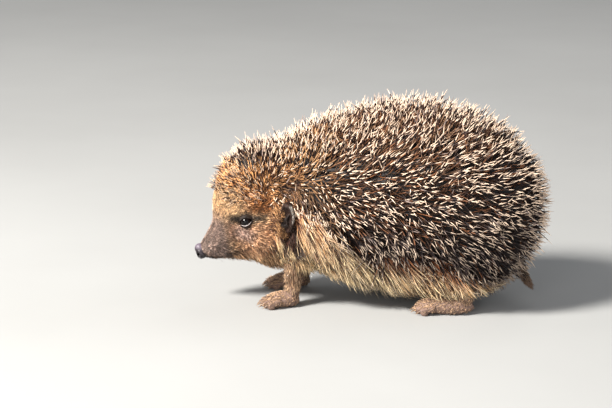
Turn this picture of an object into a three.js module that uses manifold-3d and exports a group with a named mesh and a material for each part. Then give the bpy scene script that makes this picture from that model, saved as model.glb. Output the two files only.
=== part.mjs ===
// European hedgehog (Erinaceus europaeus), adult, standing with its head lowered and turned a little to its left.
// Still, life-size display model. Millimetres, +Z up, floor at Z = 0, nose towards -X, the animal's left towards -Y.
// Every solid is built in a straight, mirror-symmetric body space, and bendPoint() then turns the neck and head.
// Outer surfaces stand at the tips of the coat: quill tips on the back and crown, hair tips elsewhere.
import * as THREE from "three";
import { mergeVertices } from "three/addons/utils/BufferGeometryUtils.js";
import Module from "manifold-3d";

const wasm = await Module();
wasm.setup();

// ---------------------------------------------------------------- driving sizes, mm and degrees
const GAP = 0.32; // clearance left between neighbouring solids
const HEAD_TURN = 15; // head turned to the animal's left
const TURN_FROM_X = -18, TURN_TO_X = -72; // stretch of neck that takes the turn
const EYE_RADIUS = 3.7;
const EYE_AT = [-89.9, 16.0, 55.6];
const NOSE_AT = [-117.5, 0, 32.2];
const NOSE_RADII = [3.8, 4.3, 4.6];
const QUILL_COAT = 9.5; // depth of the quill coat, measured square to the skin
const CROWN_COAT = 7.5;
const FLANK_FUR = 5.0;
const FACE_FUR = 1.2;
const EAR_AT = [-65.6, 28.6, 59.4];
const EAR_RADII = [7.2, 4.4, 11.8];
const TOE_COUNT = 5;

// Bare body under the coat: ellipsoids {at, r} blended together.
const TRUNK = {
  barrel: { at: [22.5, 0, 73], r: [75.5, 51, 53.5] },
  shoulders: { at: [-27, 0, 70], r: [44, 40, 43] },
  rump: { at: [58, 0, 53.5], r: [38, 45, 38] },
  neck: { at: [-50, 0, 64], r: [24, 21, 31] },
};
const HEAD = {
  crown: { at: [-77, 0, 73.5], r: [27, 19, 27.5] },
  cheek: { at: [-74, 10, 49], r: [16, 10.5, 14] },
  throat: { at: [-68, 0, 41], r: [18, 14, 17.5] },
  forehead: { at: [-95.5, 0, 64], r: [13.5, 10.5, 16] },
};
// Round cones {a, ra, b, rb}
const SNOUT = { a: [-92.2, 0, 52.8], ra: 15.2, b: [-115, 0, 34.0], rb: 4.4 };
const JAW = { a: [-82, 0, 40.2], ra: 10.7, b: [-108.5, 0, 32.2], rb: 3.6 };
const BLEND_TRUNK = 14, BLEND_HEAD = 7, BLEND_NECK = 10;
// Long hair that hangs from the chest and flanks, as two round cones each side; coat only.
const SKIRT = [{ a: [-50, 18, 45], ra: 13, b: [-5, 23, 27], rb: 16.5 }, { a: [-5, 23, 27], ra: 16.5, b: [56, 25, 25.6], rb: 17 }];
const BLEND_SKIRT = 9;

// Legs, left side; the right side mirrors them and stands a little further on.
const FRONT_LEG = { top: [-57, 20, 40], rTop: 7.8, wrist: [-59.6, 22.5, 11], rWrist: 4.8, foot: [-65.8, 23, 4.6], footR: [11.5, 7.2, 5.6], toes: 5.0, stepRight: 9 };
const HIND_LEG = { top: [46, 24, 31], rTop: 11, wrist: [57, 30, 11], rWrist: 5.8, foot: [45, 31, 4.8], footR: [19, 7.6, 5.8], toes: 5.0, stepRight: -16 };

const TAIL = { root: [88, 0, 27], rRoot: 5.5, tip: [98, 0, 12], rTip: 2.2 };

// Lower edge of the quill coat, seen from the side: x, z pairs from the brow to the rump.
const COAT_EDGE = [[-124, 88], [-112, 83], [-103, 77], [-94, 73], [-80, 69.5], [-68, 68], [-56, 64], [-38, 56], [-23, 46], [-12, 38], [2, 36], [36, 33], [52, 27], [68, 18], [84, 12], [120, 6]];
const NECK_FRONT_X = -60, NECK_BACK_X = -38; // thin cuts across the body
const CUT_LEAN = 12; // the cuts lean with the ear and shoulder

// ---------------------------------------------------------------- fields
const mix = (a, b, t) => a + (b - a) * t;
const clamp01 = (t) => Math.min(1, Math.max(0, t));
const smooth = (t) => { t = clamp01(t); return t * t * (3 - 2 * t); };
const smin = (a, b, k) => { const h = Math.max(k - Math.abs(a - b), 0) / k; return Math.min(a, b) - (h * h * k) / 4; };

function ellipsoid(p, { at, r }) {
  const q = [p[0] - at[0], p[1] - at[1], p[2] - at[2]];
  const k0 = Math.hypot(q[0] / r[0], q[1] / r[1], q[2] / r[2]);
  const k1 = Math.hypot(q[0] / r[0] ** 2, q[1] / r[1] ** 2, q[2] / r[2] ** 2);
  return k1 < 1e-9 ? -Math.min(...r) : (k0 * (k0 - 1)) / k1;
}
function roundCone(p, { a, ra, b, rb }) {
  const ab = [b[0] - a[0], b[1] - a[1], b[2] - a[2]];
  const ap = [p[0] - a[0], p[1] - a[1], p[2] - a[2]];
  const t = clamp01((ap[0] * ab[0] + ap[1] * ab[1] + ap[2] * ab[2]) / (ab[0] ** 2 + ab[1] ** 2 + ab[2] ** 2));
  return Math.hypot(ap[0] - t * ab[0], ap[1] - t * ab[1], ap[2] - t * ab[2]) - mix(ra, rb, t);
}
function line(points, x) {
  for (let i = 1; i < points.length; i++) {
    if (x <= points[i][0] || i === points.length - 1) {
      const [x0, z0] = points[i - 1], [x1, z1] = points[i];
      return mix(z0, z1, clamp01((x - x0) / (x1 - x0)));
    }
  }
}
function skin(p) {
  const m = [p[0], Math.abs(p[1]), p[2]];
  let trunk = ellipsoid(m, TRUNK.barrel);
  for (const part of [TRUNK.shoulders, TRUNK.rump, TRUNK.neck]) trunk = smin(trunk, ellipsoid(m, part), BLEND_TRUNK);
  let head = ellipsoid(m, HEAD.crown);
  head = smin(head, ellipsoid(m, HEAD.forehead), BLEND_HEAD);
  head = smin(head, roundCone(m, SNOUT), BLEND_HEAD);
  for (const part of [HEAD.cheek, HEAD.throat]) head = smin(head, ellipsoid(m, part), BLEND_HEAD);
  head = smin(head, roundCone(m, JAW), BLEND_HEAD);
  return smin(trunk, head, BLEND_NECK);
}
// Share of quill coat, 0 on the fur and 1 on the back.
const quills = (p) => smooth((p[2] - line(COAT_EDGE, p[0]) + 4) / 12);
function coatDepth(p) {
  const face = smooth((-58 - p[0]) / 18); // 1 on the face, 0 on the trunk
  const muzzle = smooth((-98 - p[0]) / 14);
  const belly = smooth((26 - p[2]) / 16) * (1 - face);
  const fur = mix(mix(FLANK_FUR, FACE_FUR, face), 0.3, muzzle) - 1.5 * belly;
  const spines = mix(QUILL_COAT, CROWN_COAT, smooth((-52 - p[0]) / 30));
  return mix(fur, spines, quills(p));
}
function coat(p) {
  const m = [p[0], Math.abs(p[1]), p[2]];
  return smin(skin(p) - coatDepth(p), Math.min(...SKIRT.map((cone) => roundCone(m, cone))), BLEND_SKIRT);
}

// ---------------------------------------------------------------- shaping three.js geometry with the fields
// Turns the neck and head: a point at x keeps its distance from the bent centre line.
const BEND_STEPS = 240;
const turnAt = (x) => THREE.MathUtils.degToRad(HEAD_TURN) * smooth((TURN_FROM_X - x) / (TURN_FROM_X - TURN_TO_X));
const centreLine = (() => {
  const reach = 140 + TURN_FROM_X, step = reach / BEND_STEPS, at = [[TURN_FROM_X, 0]];
  for (let i = 1; i <= BEND_STEPS; i++) {
    const a = turnAt(TURN_FROM_X - (i - 0.5) * step), [x, y] = at[i - 1];
    at.push([x - Math.cos(a) * step, y - Math.sin(a) * step]);
  }
  return (x) => {
    if (x >= TURN_FROM_X) return [x, 0];
    const f = Math.min((TURN_FROM_X - x) / step, BEND_STEPS - 1e-6), i = Math.floor(f);
    return [mix(at[i][0], at[i + 1][0], f - i), mix(at[i][1], at[i + 1][1], f - i)];
  };
})();
function bendPoint(x, y, z) {
  const a = turnAt(x), [cx, cy] = centreLine(x);
  return [cx - Math.sin(a) * y, cy + Math.cos(a) * y, z];
}

// Distance from o along d at which field reaches level; o lies inside.
function cast(field, o, d, level) {
  let t = 0;
  const at = (s) => field([o[0] + d[0] * s, o[1] + d[1] * s, o[2] + d[2] * s]) - level;
  for (let i = 0; i < 400; i++) {
    const f = at(t);
    if (f > -0.02) break;
    t += Math.min(6, Math.max(-f * 0.5, 0.02));
  }
  let lo = Math.max(0, t - 1.5), hi = t + 1.5;
  for (let i = 0; i < 24; i++) { const m = (lo + hi) / 2; if (at(m) < 0) lo = m; else hi = m; }
  return (lo + hi) / 2;
}
// A sphere's vertices moved out from a centre line onto a field's surface. round: how much of the pole-to-pole range each end cap takes.
function sphereOnField(field, axis, around, along, { level = 0, round = 0.2, crowd = (s) => s } = {}) {
  const curve = new THREE.CatmullRomCurve3(axis.map((v) => new THREE.Vector3(...v)), false, "centripetal");
  const g = new THREE.SphereGeometry(1, around, along);
  const pos = g.getAttribute("position");
  const v = new THREE.Vector3(), up = new THREE.Vector3(0, 0, 1);
  for (let i = 0; i < pos.count; i++) {
    v.fromBufferAttribute(pos, i).normalize();
    const polar = Math.acos(THREE.MathUtils.clamp(v.y, -1, 1)) / Math.PI;
    const turn = Math.hypot(v.x, v.z) < 1e-6 ? 0 : Math.atan2(v.z, v.x);
    const lean = polar < round ? (polar / round) * 0.5 : polar > 1 - round ? 1 - ((1 - polar) / round) * 0.5 : 0.5;
    const s = crowd(clamp01((polar - round) / (1 - 2 * round)));
    const o = curve.getPoint(s), T = curve.getTangent(s);
    const side = new THREE.Vector3().crossVectors(T, up).normalize(), rise = new THREE.Vector3().crossVectors(side, T);
    const d = new THREE.Vector3().addScaledVector(T, -Math.cos(lean * Math.PI))
      .addScaledVector(side, Math.sin(lean * Math.PI) * Math.cos(turn))
      .addScaledVector(rise, Math.sin(lean * Math.PI) * Math.sin(turn)).normalize();
    const t = cast(field, o.toArray(), d.toArray(), level);
    pos.setXYZ(i, o.x + d.x * t, o.y + d.y * t, o.z + d.z * t);
  }
  return g;
}
// A closed solid from a geometry placed in body space; the neck's turn is applied to its vertices, before any cutting.
function solid(geometry, matrix, turned = true) {
  const bare = new THREE.BufferGeometry().setAttribute("position", (geometry.index ? geometry.toNonIndexed() : geometry).getAttribute("position").clone());
  if (matrix) bare.applyMatrix4(matrix);
  const at = bare.getAttribute("position");
  if (turned) for (let i = 0; i < at.count; i++) at.setXYZ(i, ...bendPoint(at.getX(i), at.getY(i), at.getZ(i)));
  const g = mergeVertices(bare, 1e-3);
  const tri = Array.from(g.index.array), keep = [];
  for (let i = 0; i < tri.length; i += 3) if (tri[i] !== tri[i + 1] && tri[i + 1] !== tri[i + 2] && tri[i] !== tri[i + 2]) keep.push(tri[i], tri[i + 1], tri[i + 2]);
  const make = (t) => new wasm.Manifold(new wasm.Mesh({ numProp: 3, vertProperties: g.attributes.position.array, triVerts: new Uint32Array(t) }));
  const made = make(keep);
  if (made.volume() > 0) return made;
  for (let i = 0; i < keep.length; i += 3) [keep[i + 1], keep[i + 2]] = [keep[i + 2], keep[i + 1]];
  return make(keep);
}
const place = (at, euler = [0, 0, 0], scale = [1, 1, 1]) =>
  new THREE.Matrix4().compose(new THREE.Vector3(...at), new THREE.Quaternion().setFromEuler(new THREE.Euler(...euler.map(THREE.MathUtils.degToRad))), new THREE.Vector3(...scale));
const ball = (at, r, euler, w = 12, h = 8) => solid(new THREE.SphereGeometry(1, w, h), place(at, euler, Array.isArray(r) ? r : [r, r, r]));
const block = (at, size) => solid(new THREE.BoxGeometry(...size), place(at), false);
// A solid between two round ends, for limb segments, toes and claws.
function limb(a, ra, b, rb, around = 12, along = 10) {
  const A = new THREE.Vector3(...a), B = new THREE.Vector3(...b), L = A.distanceTo(B);
  const profile = [], n = Math.max(1, Math.round(along / 3));
  for (let i = 0; i <= n; i++) { const w = (i / n) * Math.PI / 2; profile.push(new THREE.Vector2(ra * Math.sin(w), -ra * Math.cos(w))); }
  for (let i = 0; i <= n; i++) { const w = (i / n) * Math.PI / 2; profile.push(new THREE.Vector2(rb * Math.cos(w), L + rb * Math.sin(w))); }
  profile[0].x = 0; profile[profile.length - 1].x = 0;
  const g = new THREE.LatheGeometry(profile, around);
  const q = new THREE.Quaternion().setFromUnitVectors(new THREE.Vector3(0, 1, 0), B.clone().sub(A).normalize());
  return solid(g, new THREE.Matrix4().compose(A, q, new THREE.Vector3(1, 1, 1)));
}
const flip = (p, side) => [p[0], p[1] * side, p[2]];
const moveX = (p, dx) => [p[0] + dx, p[1], p[2]];

// ---------------------------------------------------------------- body, then its thin cuts
const BODY_AXIS = [[-112, 0, 37], [-103, 0, 44], [-91, 0, 54], [-72, 0, 62], [-40, 0, 67], [0, 0, 70], [40, 0, 66], [66, 0, 60]];
const crowdHead = (s) => s * (0.62 + 0.38 * s);
const bodyAt = (level, w = 28, h = 35) => solid(sphereOnField(coat, BODY_AXIS, w, h, { level, round: 0.14, crowd: crowdHead }));
const body = bodyAt(0);
const bodyGrown = bodyAt(GAP);

// A side-view outline extruded across the body, in steps so that it can bend with the neck.
const acrossBody = (shape) => solid(new THREE.ExtrudeGeometry(shape, { depth: 156, steps: 12, bevelEnabled: false }), new THREE.Matrix4().makeRotationX(Math.PI / 2).setPosition(0, 78, 0));
// Side-view region above or below the coat's edge.
function edgeRegion(above, shift) {
  const top = above ? 170 : -20, pts = COAT_EDGE.map(([x, z]) => new THREE.Vector2(x, z + shift));
  const shape = new THREE.Shape([new THREE.Vector2(-150, pts[0].y), ...pts, new THREE.Vector2(150, pts[pts.length - 1].y), new THREE.Vector2(150, top), new THREE.Vector2(-150, top)]);
  return acrossBody(shape);
}
const above = edgeRegion(true, GAP / 2), below = edgeRegion(false, -GAP / 2);
const slab = (x0, x1) => {
  const lean = Math.tan(THREE.MathUtils.degToRad(CUT_LEAN)) * 90; // cut leans back towards the floor
  const pts = [], steps = 9, z = (i) => -20 + (180 * i) / steps, shift = (i) => lean * (1 - (2 * i) / steps);
  for (let i = 0; i <= steps; i++) pts.push(new THREE.Vector2(x1 + shift(i), z(i)));
  for (let i = steps; i >= 0; i--) pts.push(new THREE.Vector2(x0 + shift(i), z(i)));
  return acrossBody(new THREE.Shape(pts));
};
const inHead = slab(-150, NECK_FRONT_X - GAP / 2), inNeck = slab(NECK_FRONT_X + GAP / 2, NECK_BACK_X - GAP / 2), inTrunk = slab(NECK_BACK_X + GAP / 2, 150);
const behindCrown = slab(NECK_BACK_X + GAP / 2, 150), overHead = slab(-150, NECK_BACK_X - GAP / 2);

const parts = {};
let face = body.intersect(below).intersect(inHead);
let crown = body.intersect(above).intersect(overHead);
let neck = body.intersect(below).intersect(inNeck);
let back = body.intersect(above).intersect(behindCrown);
let belly = body.intersect(below).intersect(inTrunk);

// ---------------------------------------------------------------- eyes, nose, ears
const nose = ball(NOSE_AT, NOSE_RADII, [0, 30, 0]);
const noseGrown = ball(NOSE_AT, NOSE_RADII.map((r) => r + GAP), [0, 30, 0]);
face = face.subtract(noseGrown);
parts.nose = nose;
for (const [name, side] of [["left", -1], ["right", 1]]) {
  const at = flip(EYE_AT, side);
  parts["eye_" + name] = ball(at, EYE_RADIUS, [0, 0, 0]);
  face = face.subtract(ball(at, EYE_RADIUS + GAP, [0, 0, 0]));
  // The ear is a shallow cup, its hollow facing forwards and out.
  const lean = [side * -16, 8, side * 24];
  const cup = ball(flip(EAR_AT, side), EAR_RADII, lean, 14, 10);
  const hollow = ball([EAR_AT[0] - 3, side * (EAR_AT[1] + 2.4), EAR_AT[2] - 0.8], [EAR_RADII[0] * 0.84, EAR_RADII[1] * 0.9, EAR_RADII[2] * 0.82], lean, 12, 8);
  parts["ear_" + name] = cup.subtract(hollow);
}

// ---------------------------------------------------------------- legs and feet
const floorCut = block([0, 0, -50], [400, 400, 100]), sockets = [];
function leg(kind, spec, side) {
  const dx = side > 0 ? spec.stepRight : 0, end = side < 0 ? "_left" : "_right";
  const wrist = moveX(flip(spec.wrist, side), dx), foot = moveX(flip(spec.foot, side), dx);
  const upper = limb(flip(spec.top, side), spec.rTop, wrist, spec.rWrist, 12, 8);
  sockets.push(limb(flip(spec.top, side), spec.rTop + GAP, wrist, spec.rWrist + GAP, 12, 8));
  let paw = ball(foot, spec.footR, [0, 0, 0], 12, 8);
  const heel = limb([foot[0] + spec.footR[0] * 0.45, foot[1], 5.2], 5.4, wrist, spec.rWrist * 0.96, 8, 6);
  paw = paw.add(heel);
  for (let i = 0; i < TOE_COUNT; i++) {
    const f = i / (TOE_COUNT - 1) - 0.5; // -0.5 inner toe to 0.5 outer toe
    const reach = 1 - 1.3 * f * f;
    const knuckle = [foot[0] - spec.footR[0] * 0.62 * reach, foot[1] + side * f * spec.footR[1] * 1.75, 4.4];
    const tip = [knuckle[0] - spec.toes * (0.8 + 0.5 * reach), knuckle[1] + side * f * 3.2, 3.0];
    const claw = [tip[0] - 4.6, tip[1] + side * f * 1.2, 1.1];
    paw = paw.add(limb(knuckle, 2.7, tip, 2.3, 5, 3)).add(limb([tip[0] - 0.6, tip[1], 3.2], 1.1, claw, 0.45, 4, 3));
  }
  paw = paw.subtract(floorCut);
  // Ankle: a level thin cut.
  parts[kind + "_leg" + end] = upper.intersect(block([0, 0, wrist[2] + 1.5 + 50], [400, 400, 100]));
  parts[kind + "_foot" + end] = paw.subtract(block([0, 0, wrist[2] + 1.5 - GAP + 50], [400, 400, 100]));
}
for (const side of [-1, 1]) { leg("front", FRONT_LEG, side); leg("hind", HIND_LEG, side); }

// ---------------------------------------------------------------- tail
parts.tail = limb(TAIL.root, TAIL.rRoot, TAIL.tip, TAIL.rTip, 12, 12);

// Feet, ears and tail stop at the body's surface; the legs run on into it, in sockets of their own.
for (const name of Object.keys(parts)) if (/_foot_|^ear_|^tail/.test(name)) parts[name] = parts[name].subtract(bodyGrown);
for (const socket of sockets) [face, crown, neck, back, belly] = [face, crown, neck, back, belly].map((s) => s.subtract(socket));
Object.assign(parts, { head: face, crown_quills: crown, neck, back_quills: back, belly });

// ---------------------------------------------------------------- the scene graph
const COLOURS = {
  quills: { color: 0x6a523f, roughness: 0.6 }, fur: { color: 0xa98a66, roughness: 0.95 }, face: { color: 0x927257, roughness: 0.95 },
  skin: { color: 0x7a6255, roughness: 0.7 }, eye: { color: 0x0b0a0c, roughness: 0.08 }, nose: { color: 0x1c181a, roughness: 0.3 },
};
const LOOK = (n) => /quills/.test(n) ? "quills" : /^head/.test(n) ? "face" : /^eye/.test(n) ? "eye" : /^nose/.test(n) ? "nose" : /foot|ear|tail/.test(n) ? "skin" : "fur";
const group = new THREE.Group();
for (const [name, s] of Object.entries(parts)) {
  // Cutting can leave crumbs beside the main body; only the main body is kept.
  const main = s.decompose().sort((a, b) => b.volume() - a.volume())[0];
  const m = main.getMesh(), v = new Float32Array(m.numVert * 3);
  for (let i = 0; i < m.numVert; i++) v.set(m.vertProperties.subarray(i * m.numProp, i * m.numProp + 3), i * 3);
  const g = new THREE.BufferGeometry().setAttribute("position", new THREE.BufferAttribute(v, 3)).setIndex(new THREE.BufferAttribute(m.triVerts, 1));
  g.computeVertexNormals();
  const mesh = new THREE.Mesh(g, new THREE.MeshStandardMaterial({ metalness: 0, ...COLOURS[LOOK(name)] }));
  mesh.name = name;
  group.add(mesh);
}
// The origin is on the floor, under the middle of the animal's box.
const box = new THREE.Box3().setFromObject(group), mid = box.getCenter(new THREE.Vector3());
group.position.set(-mid.x, -mid.y, -box.min.z);
export default group;
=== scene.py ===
import math
import bpy
import numpy as np
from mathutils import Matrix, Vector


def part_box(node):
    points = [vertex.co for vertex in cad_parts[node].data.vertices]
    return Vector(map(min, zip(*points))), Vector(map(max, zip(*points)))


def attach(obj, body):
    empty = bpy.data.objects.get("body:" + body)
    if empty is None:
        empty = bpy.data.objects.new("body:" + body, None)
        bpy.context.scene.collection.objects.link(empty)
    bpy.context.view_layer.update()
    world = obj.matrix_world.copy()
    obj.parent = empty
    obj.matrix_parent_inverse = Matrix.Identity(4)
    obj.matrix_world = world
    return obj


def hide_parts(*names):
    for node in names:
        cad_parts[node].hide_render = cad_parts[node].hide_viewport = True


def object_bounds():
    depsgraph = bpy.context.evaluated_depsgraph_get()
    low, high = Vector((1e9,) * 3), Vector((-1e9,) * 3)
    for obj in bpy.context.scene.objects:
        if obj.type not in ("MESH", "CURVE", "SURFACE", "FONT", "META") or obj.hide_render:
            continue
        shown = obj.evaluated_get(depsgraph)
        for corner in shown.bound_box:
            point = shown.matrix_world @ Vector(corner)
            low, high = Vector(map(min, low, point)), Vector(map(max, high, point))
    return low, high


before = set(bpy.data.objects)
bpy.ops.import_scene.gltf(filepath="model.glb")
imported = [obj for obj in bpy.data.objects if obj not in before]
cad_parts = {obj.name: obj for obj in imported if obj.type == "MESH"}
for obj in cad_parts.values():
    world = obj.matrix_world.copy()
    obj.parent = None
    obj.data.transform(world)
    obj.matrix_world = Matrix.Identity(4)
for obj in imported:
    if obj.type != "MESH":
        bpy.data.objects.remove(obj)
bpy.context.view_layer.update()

rng = np.random.default_rng(20114)

# ------------------------------------------------------------------ sizes, mm and degrees (as in the CAD)
HEAD_TURN = 15.0
TURN_FROM_X, TURN_TO_X = -18.0, -72.0
EYE_RADIUS = 3.7
EYE_AT = (-89.9, 16.0, 55.6)
NOSE_AT = (-117.5, 0.0, 32.2)
NOSE_RADII = (3.8, 4.3, 4.6)
QUILL_COAT, CROWN_COAT, FLANK_FUR, FACE_FUR = 9.5, 7.5, 5.0, 1.2
EAR_AT = (-65.6, 28.6, 59.4)
EAR_RADII = (7.2, 4.4, 11.8)
TOE_COUNT = 5
BARREL = ((22.5, 0, 73), (75.5, 51, 53.5))
SHOULDERS = ((-27, 0, 70), (44, 40, 43))
RUMP = ((58, 0, 53.5), (38, 45, 38))
NECK = ((-50, 0, 64), (24, 21, 31))
CROWN = ((-77, 0, 73.5), (27, 19, 27.5))
FOREHEAD = ((-95.5, 0, 64), (13.5, 10.5, 16))
CHEEK = ((-74, 10, 49), (16, 10.5, 14))
THROAT = ((-68, 0, 41), (18, 14, 17.5))
SNOUT = ((-92.2, 0, 52.8), 15.2, (-115, 0, 34.0), 4.4)
JAW = ((-82, 0, 40.2), 10.7, (-108.5, 0, 32.2), 3.6)
BLEND_TRUNK, BLEND_HEAD, BLEND_NECK = 14.0, 7.0, 10.0
SKIRT = [((-50, 18, 45), 13, (-5, 23, 27), 16.5), ((-5, 23, 27), 16.5, (56, 25, 25.6), 17)]
BLEND_SKIRT = 9.0
FRONT_LEG = dict(top=(-57, 20, 40), r_top=7.8, wrist=(-59.6, 22.5, 11), r_wrist=4.8, foot=(-65.8, 23, 4.6), foot_r=(11.5, 7.2, 5.6), toes=5.0, step_right=9.0)
HIND_LEG = dict(top=(46, 24, 31), r_top=11.0, wrist=(57, 30, 11), r_wrist=5.8, foot=(45, 31, 4.8), foot_r=(19, 7.6, 5.8), toes=5.0, step_right=-16.0)
TAIL = ((88, 0, 27), 5.5, (98, 0, 12), 2.2)
COAT_EDGE = np.array([[-124, 88], [-112, 83], [-103, 77], [-94, 73], [-80, 69.5], [-68, 68], [-56, 64], [-38, 56], [-23, 46], [-12, 38],
                      [2, 36], [36, 33], [52, 27], [68, 18], [84, 12], [120, 6]], float)


def srgb(r, g, b):
    """Linear colour from 0-255 display values."""
    c = np.array([r, g, b], float) / 255
    return np.where(c <= 0.04045, c / 12.92, ((c + 0.055) / 1.055) ** 2.4)


# ------------------------------------------------------------------ fields
def smooth(t):
    t = np.clip(t, 0, 1)
    return t * t * (3 - 2 * t)


def smin(a, b, k):
    h = np.maximum(k - np.abs(a - b), 0) / k
    return np.minimum(a, b) - h * h * k * 0.25


def smax(a, b, k):
    return -smin(-a, -b, k)


def mix(a, b, t):
    return a + (b - a) * t


def ellipsoid(x, y, z, at, r):
    qx, qy, qz = (x - at[0]) / r[0], (y - at[1]) / r[1], (z - at[2]) / r[2]
    k0 = np.sqrt(qx * qx + qy * qy + qz * qz)
    k1 = np.sqrt((qx / r[0]) ** 2 + (qy / r[1]) ** 2 + (qz / r[2]) ** 2) + 1e-9
    return k0 * (k0 - 1) / k1


def turned_ellipsoid(x, y, z, at, r, m):
    """m: local axes as rows."""
    dx, dy, dz = x - at[0], y - at[1], z - at[2]
    q = [dx * a[0] + dy * a[1] + dz * a[2] for a in m]
    return ellipsoid(q[0], q[1], q[2], (0, 0, 0), r)


def round_cone(x, y, z, a, ra, b, rb):
    ab = np.array(b, float) - np.array(a, float)
    px, py, pz = x - a[0], y - a[1], z - a[2]
    t = np.clip((px * ab[0] + py * ab[1] + pz * ab[2]) / (ab @ ab), 0, 1)
    return np.sqrt((px - t * ab[0]) ** 2 + (py - t * ab[1]) ** 2 + (pz - t * ab[2]) ** 2) - (ra + (rb - ra) * t)


def euler(deg):
    a, b, c = np.radians(deg)
    rx = np.array([[1, 0, 0], [0, math.cos(a), -math.sin(a)], [0, math.sin(a), math.cos(a)]])
    ry = np.array([[math.cos(b), 0, math.sin(b)], [0, 1, 0], [-math.sin(b), 0, math.cos(b)]])
    rz = np.array([[math.cos(c), -math.sin(c), 0], [math.sin(c), math.cos(c), 0], [0, 0, 1]])
    return rx @ ry @ rz


def base(x, y, z):
    """Bare body without ears, legs or lids."""
    m = np.abs(y)
    trunk = ellipsoid(x, m, z, *BARREL)
    for part in (SHOULDERS, RUMP, NECK):
        trunk = smin(trunk, ellipsoid(x, m, z, *part), BLEND_TRUNK)
    head = ellipsoid(x, m, z, *CROWN)
    head = smin(head, ellipsoid(x, m, z, *FOREHEAD), BLEND_HEAD)
    head = smin(head, round_cone(x, m, z, *SNOUT), BLEND_HEAD)
    for part in (CHEEK, THROAT):
        head = smin(head, ellipsoid(x, m, z, *part), BLEND_HEAD)
    head = smin(head, round_cone(x, m, z, *JAW), BLEND_HEAD)
    return smin(trunk, head, BLEND_NECK)


def edge_z(x):
    return np.interp(x, COAT_EDGE[:, 0], COAT_EDGE[:, 1])


def quill_share(x, z):
    return smooth((z - edge_z(x) + 4) / 12)


def coat_depth(x, z):
    face = smooth((-58 - x) / 18)
    muzzle = smooth((-98 - x) / 14)
    belly = smooth((26 - z) / 16) * (1 - face)
    fur = mix(mix(FLANK_FUR, FACE_FUR, face), 0.3, muzzle) - 1.5 * belly
    spines = mix(QUILL_COAT, CROWN_COAT, smooth((-52 - x) / 30))
    return mix(fur, spines, quill_share(x, z))


def coat(x, y, z):
    """Tips of the coat, as the CAD has them."""
    m = np.abs(y)
    skirt = np.minimum(round_cone(x, m, z, *SKIRT[0]), round_cone(x, m, z, *SKIRT[1]))
    return smin(base(x, y, z) - coat_depth(x, z), skirt, BLEND_SKIRT)


def sink(x, z):
    """How much deeper than the plain coat the skin lies where the quills stand steeply."""
    trunk = smooth((x + 62) / 20)
    return quill_share(x, z) * (1.6 + 5.4 * smooth((z - 84) / 34) * trunk)


# ears, eyes, mouth: local frames on the animal's right (y > 0), mirrored by |y|
EAR_AXES = euler((-16, 8, 24)).T
EYE = np.array(EYE_AT)


def _normal(f, p, e=0.15):
    g = np.array([f(*(p + d)) - f(*(p - d)) for d in np.eye(3) * e])
    return g / np.linalg.norm(g)


EYE_OUT = _normal(lambda x, y, z: float(base(np.float64(x), np.float64(y), np.float64(z))), EYE + np.array([0, 3.0, 0]))
EYE_SLIT = np.array([-1.0, 0, -0.26])  # towards the inner corner, which sits lower
EYE_SLIT -= EYE_SLIT @ EYE_OUT * EYE_OUT
EYE_SLIT /= np.linalg.norm(EYE_SLIT)
EYE_UP = np.cross(EYE_OUT, EYE_SLIT)
EYE_UP *= np.sign(EYE_UP[2])
MOUTH = np.array([[-115.5, 0.0, 28.6], [-113.5, 1.6, 28.8], [-110.8, 2.9, 29.4], [-106.5, 4.0, 30.0], [-101.6, 5.4, 31.2], [-95.6, 7.8, 33.0], [-90.0, 10.4, 35.2]])


def path_distance(x, y, z, path):
    best = None
    for a, b in zip(path[:-1], path[1:]):
        d = round_cone(x, y, z, a, 0.0, b, 0.0)
        best = d if best is None else np.minimum(best, d)
    return best


def ear_local(x, y, z):
    dx, dy, dz = x - EAR_AT[0], np.abs(y) - EAR_AT[1], z - EAR_AT[2]
    return [dx * a[0] + dy * a[1] + dz * a[2] for a in EAR_AXES]


EAR_SHELL = (6.5, 3.7, 11.0)


def ears(f, x, y, z):
    m = np.abs(y)
    u, v, w = ear_local(x, y, z)
    outer = ellipsoid(u, v, w, (0, 0, 0), EAR_SHELL)
    shell = smax(outer, -(outer + 1.25), 0.3)
    # the mouth of the cup: its front edge is low and sinks into the fur of the cheek
    shell = smax(shell, (v - (1.7 + 1.05 * np.minimum(0, u + 1.4) - 0.05 * np.maximum(0, -w - 2.5) ** 2)) * 0.75, 0.7)
    fold = round_cone(u, v, w, (-2.2, -1.2, -6.0), 1.3, (1.6, -1.5, 2.5), 0.7)
    shell = smin(shell, smax(fold, outer + 0.3, 0.4), 0.9)
    root = round_cone(x, m, z, (EAR_AT[0] + 0.6, EAR_AT[1] - 8.5, EAR_AT[2] - 3.0), 6.0, (EAR_AT[0] + 0.3, EAR_AT[1] - 4.4, EAR_AT[2] - 2.6), 4.2)
    f = smin(f, root, 3.0)
    f = smax(f, -(round_cone(u, v, w, (-1.4, -1.0, -3.2), 2.3, (-1.8, 4.0, -2.0), 3.4)), 0.8)
    return smin(f, shell, 1.6)


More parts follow.
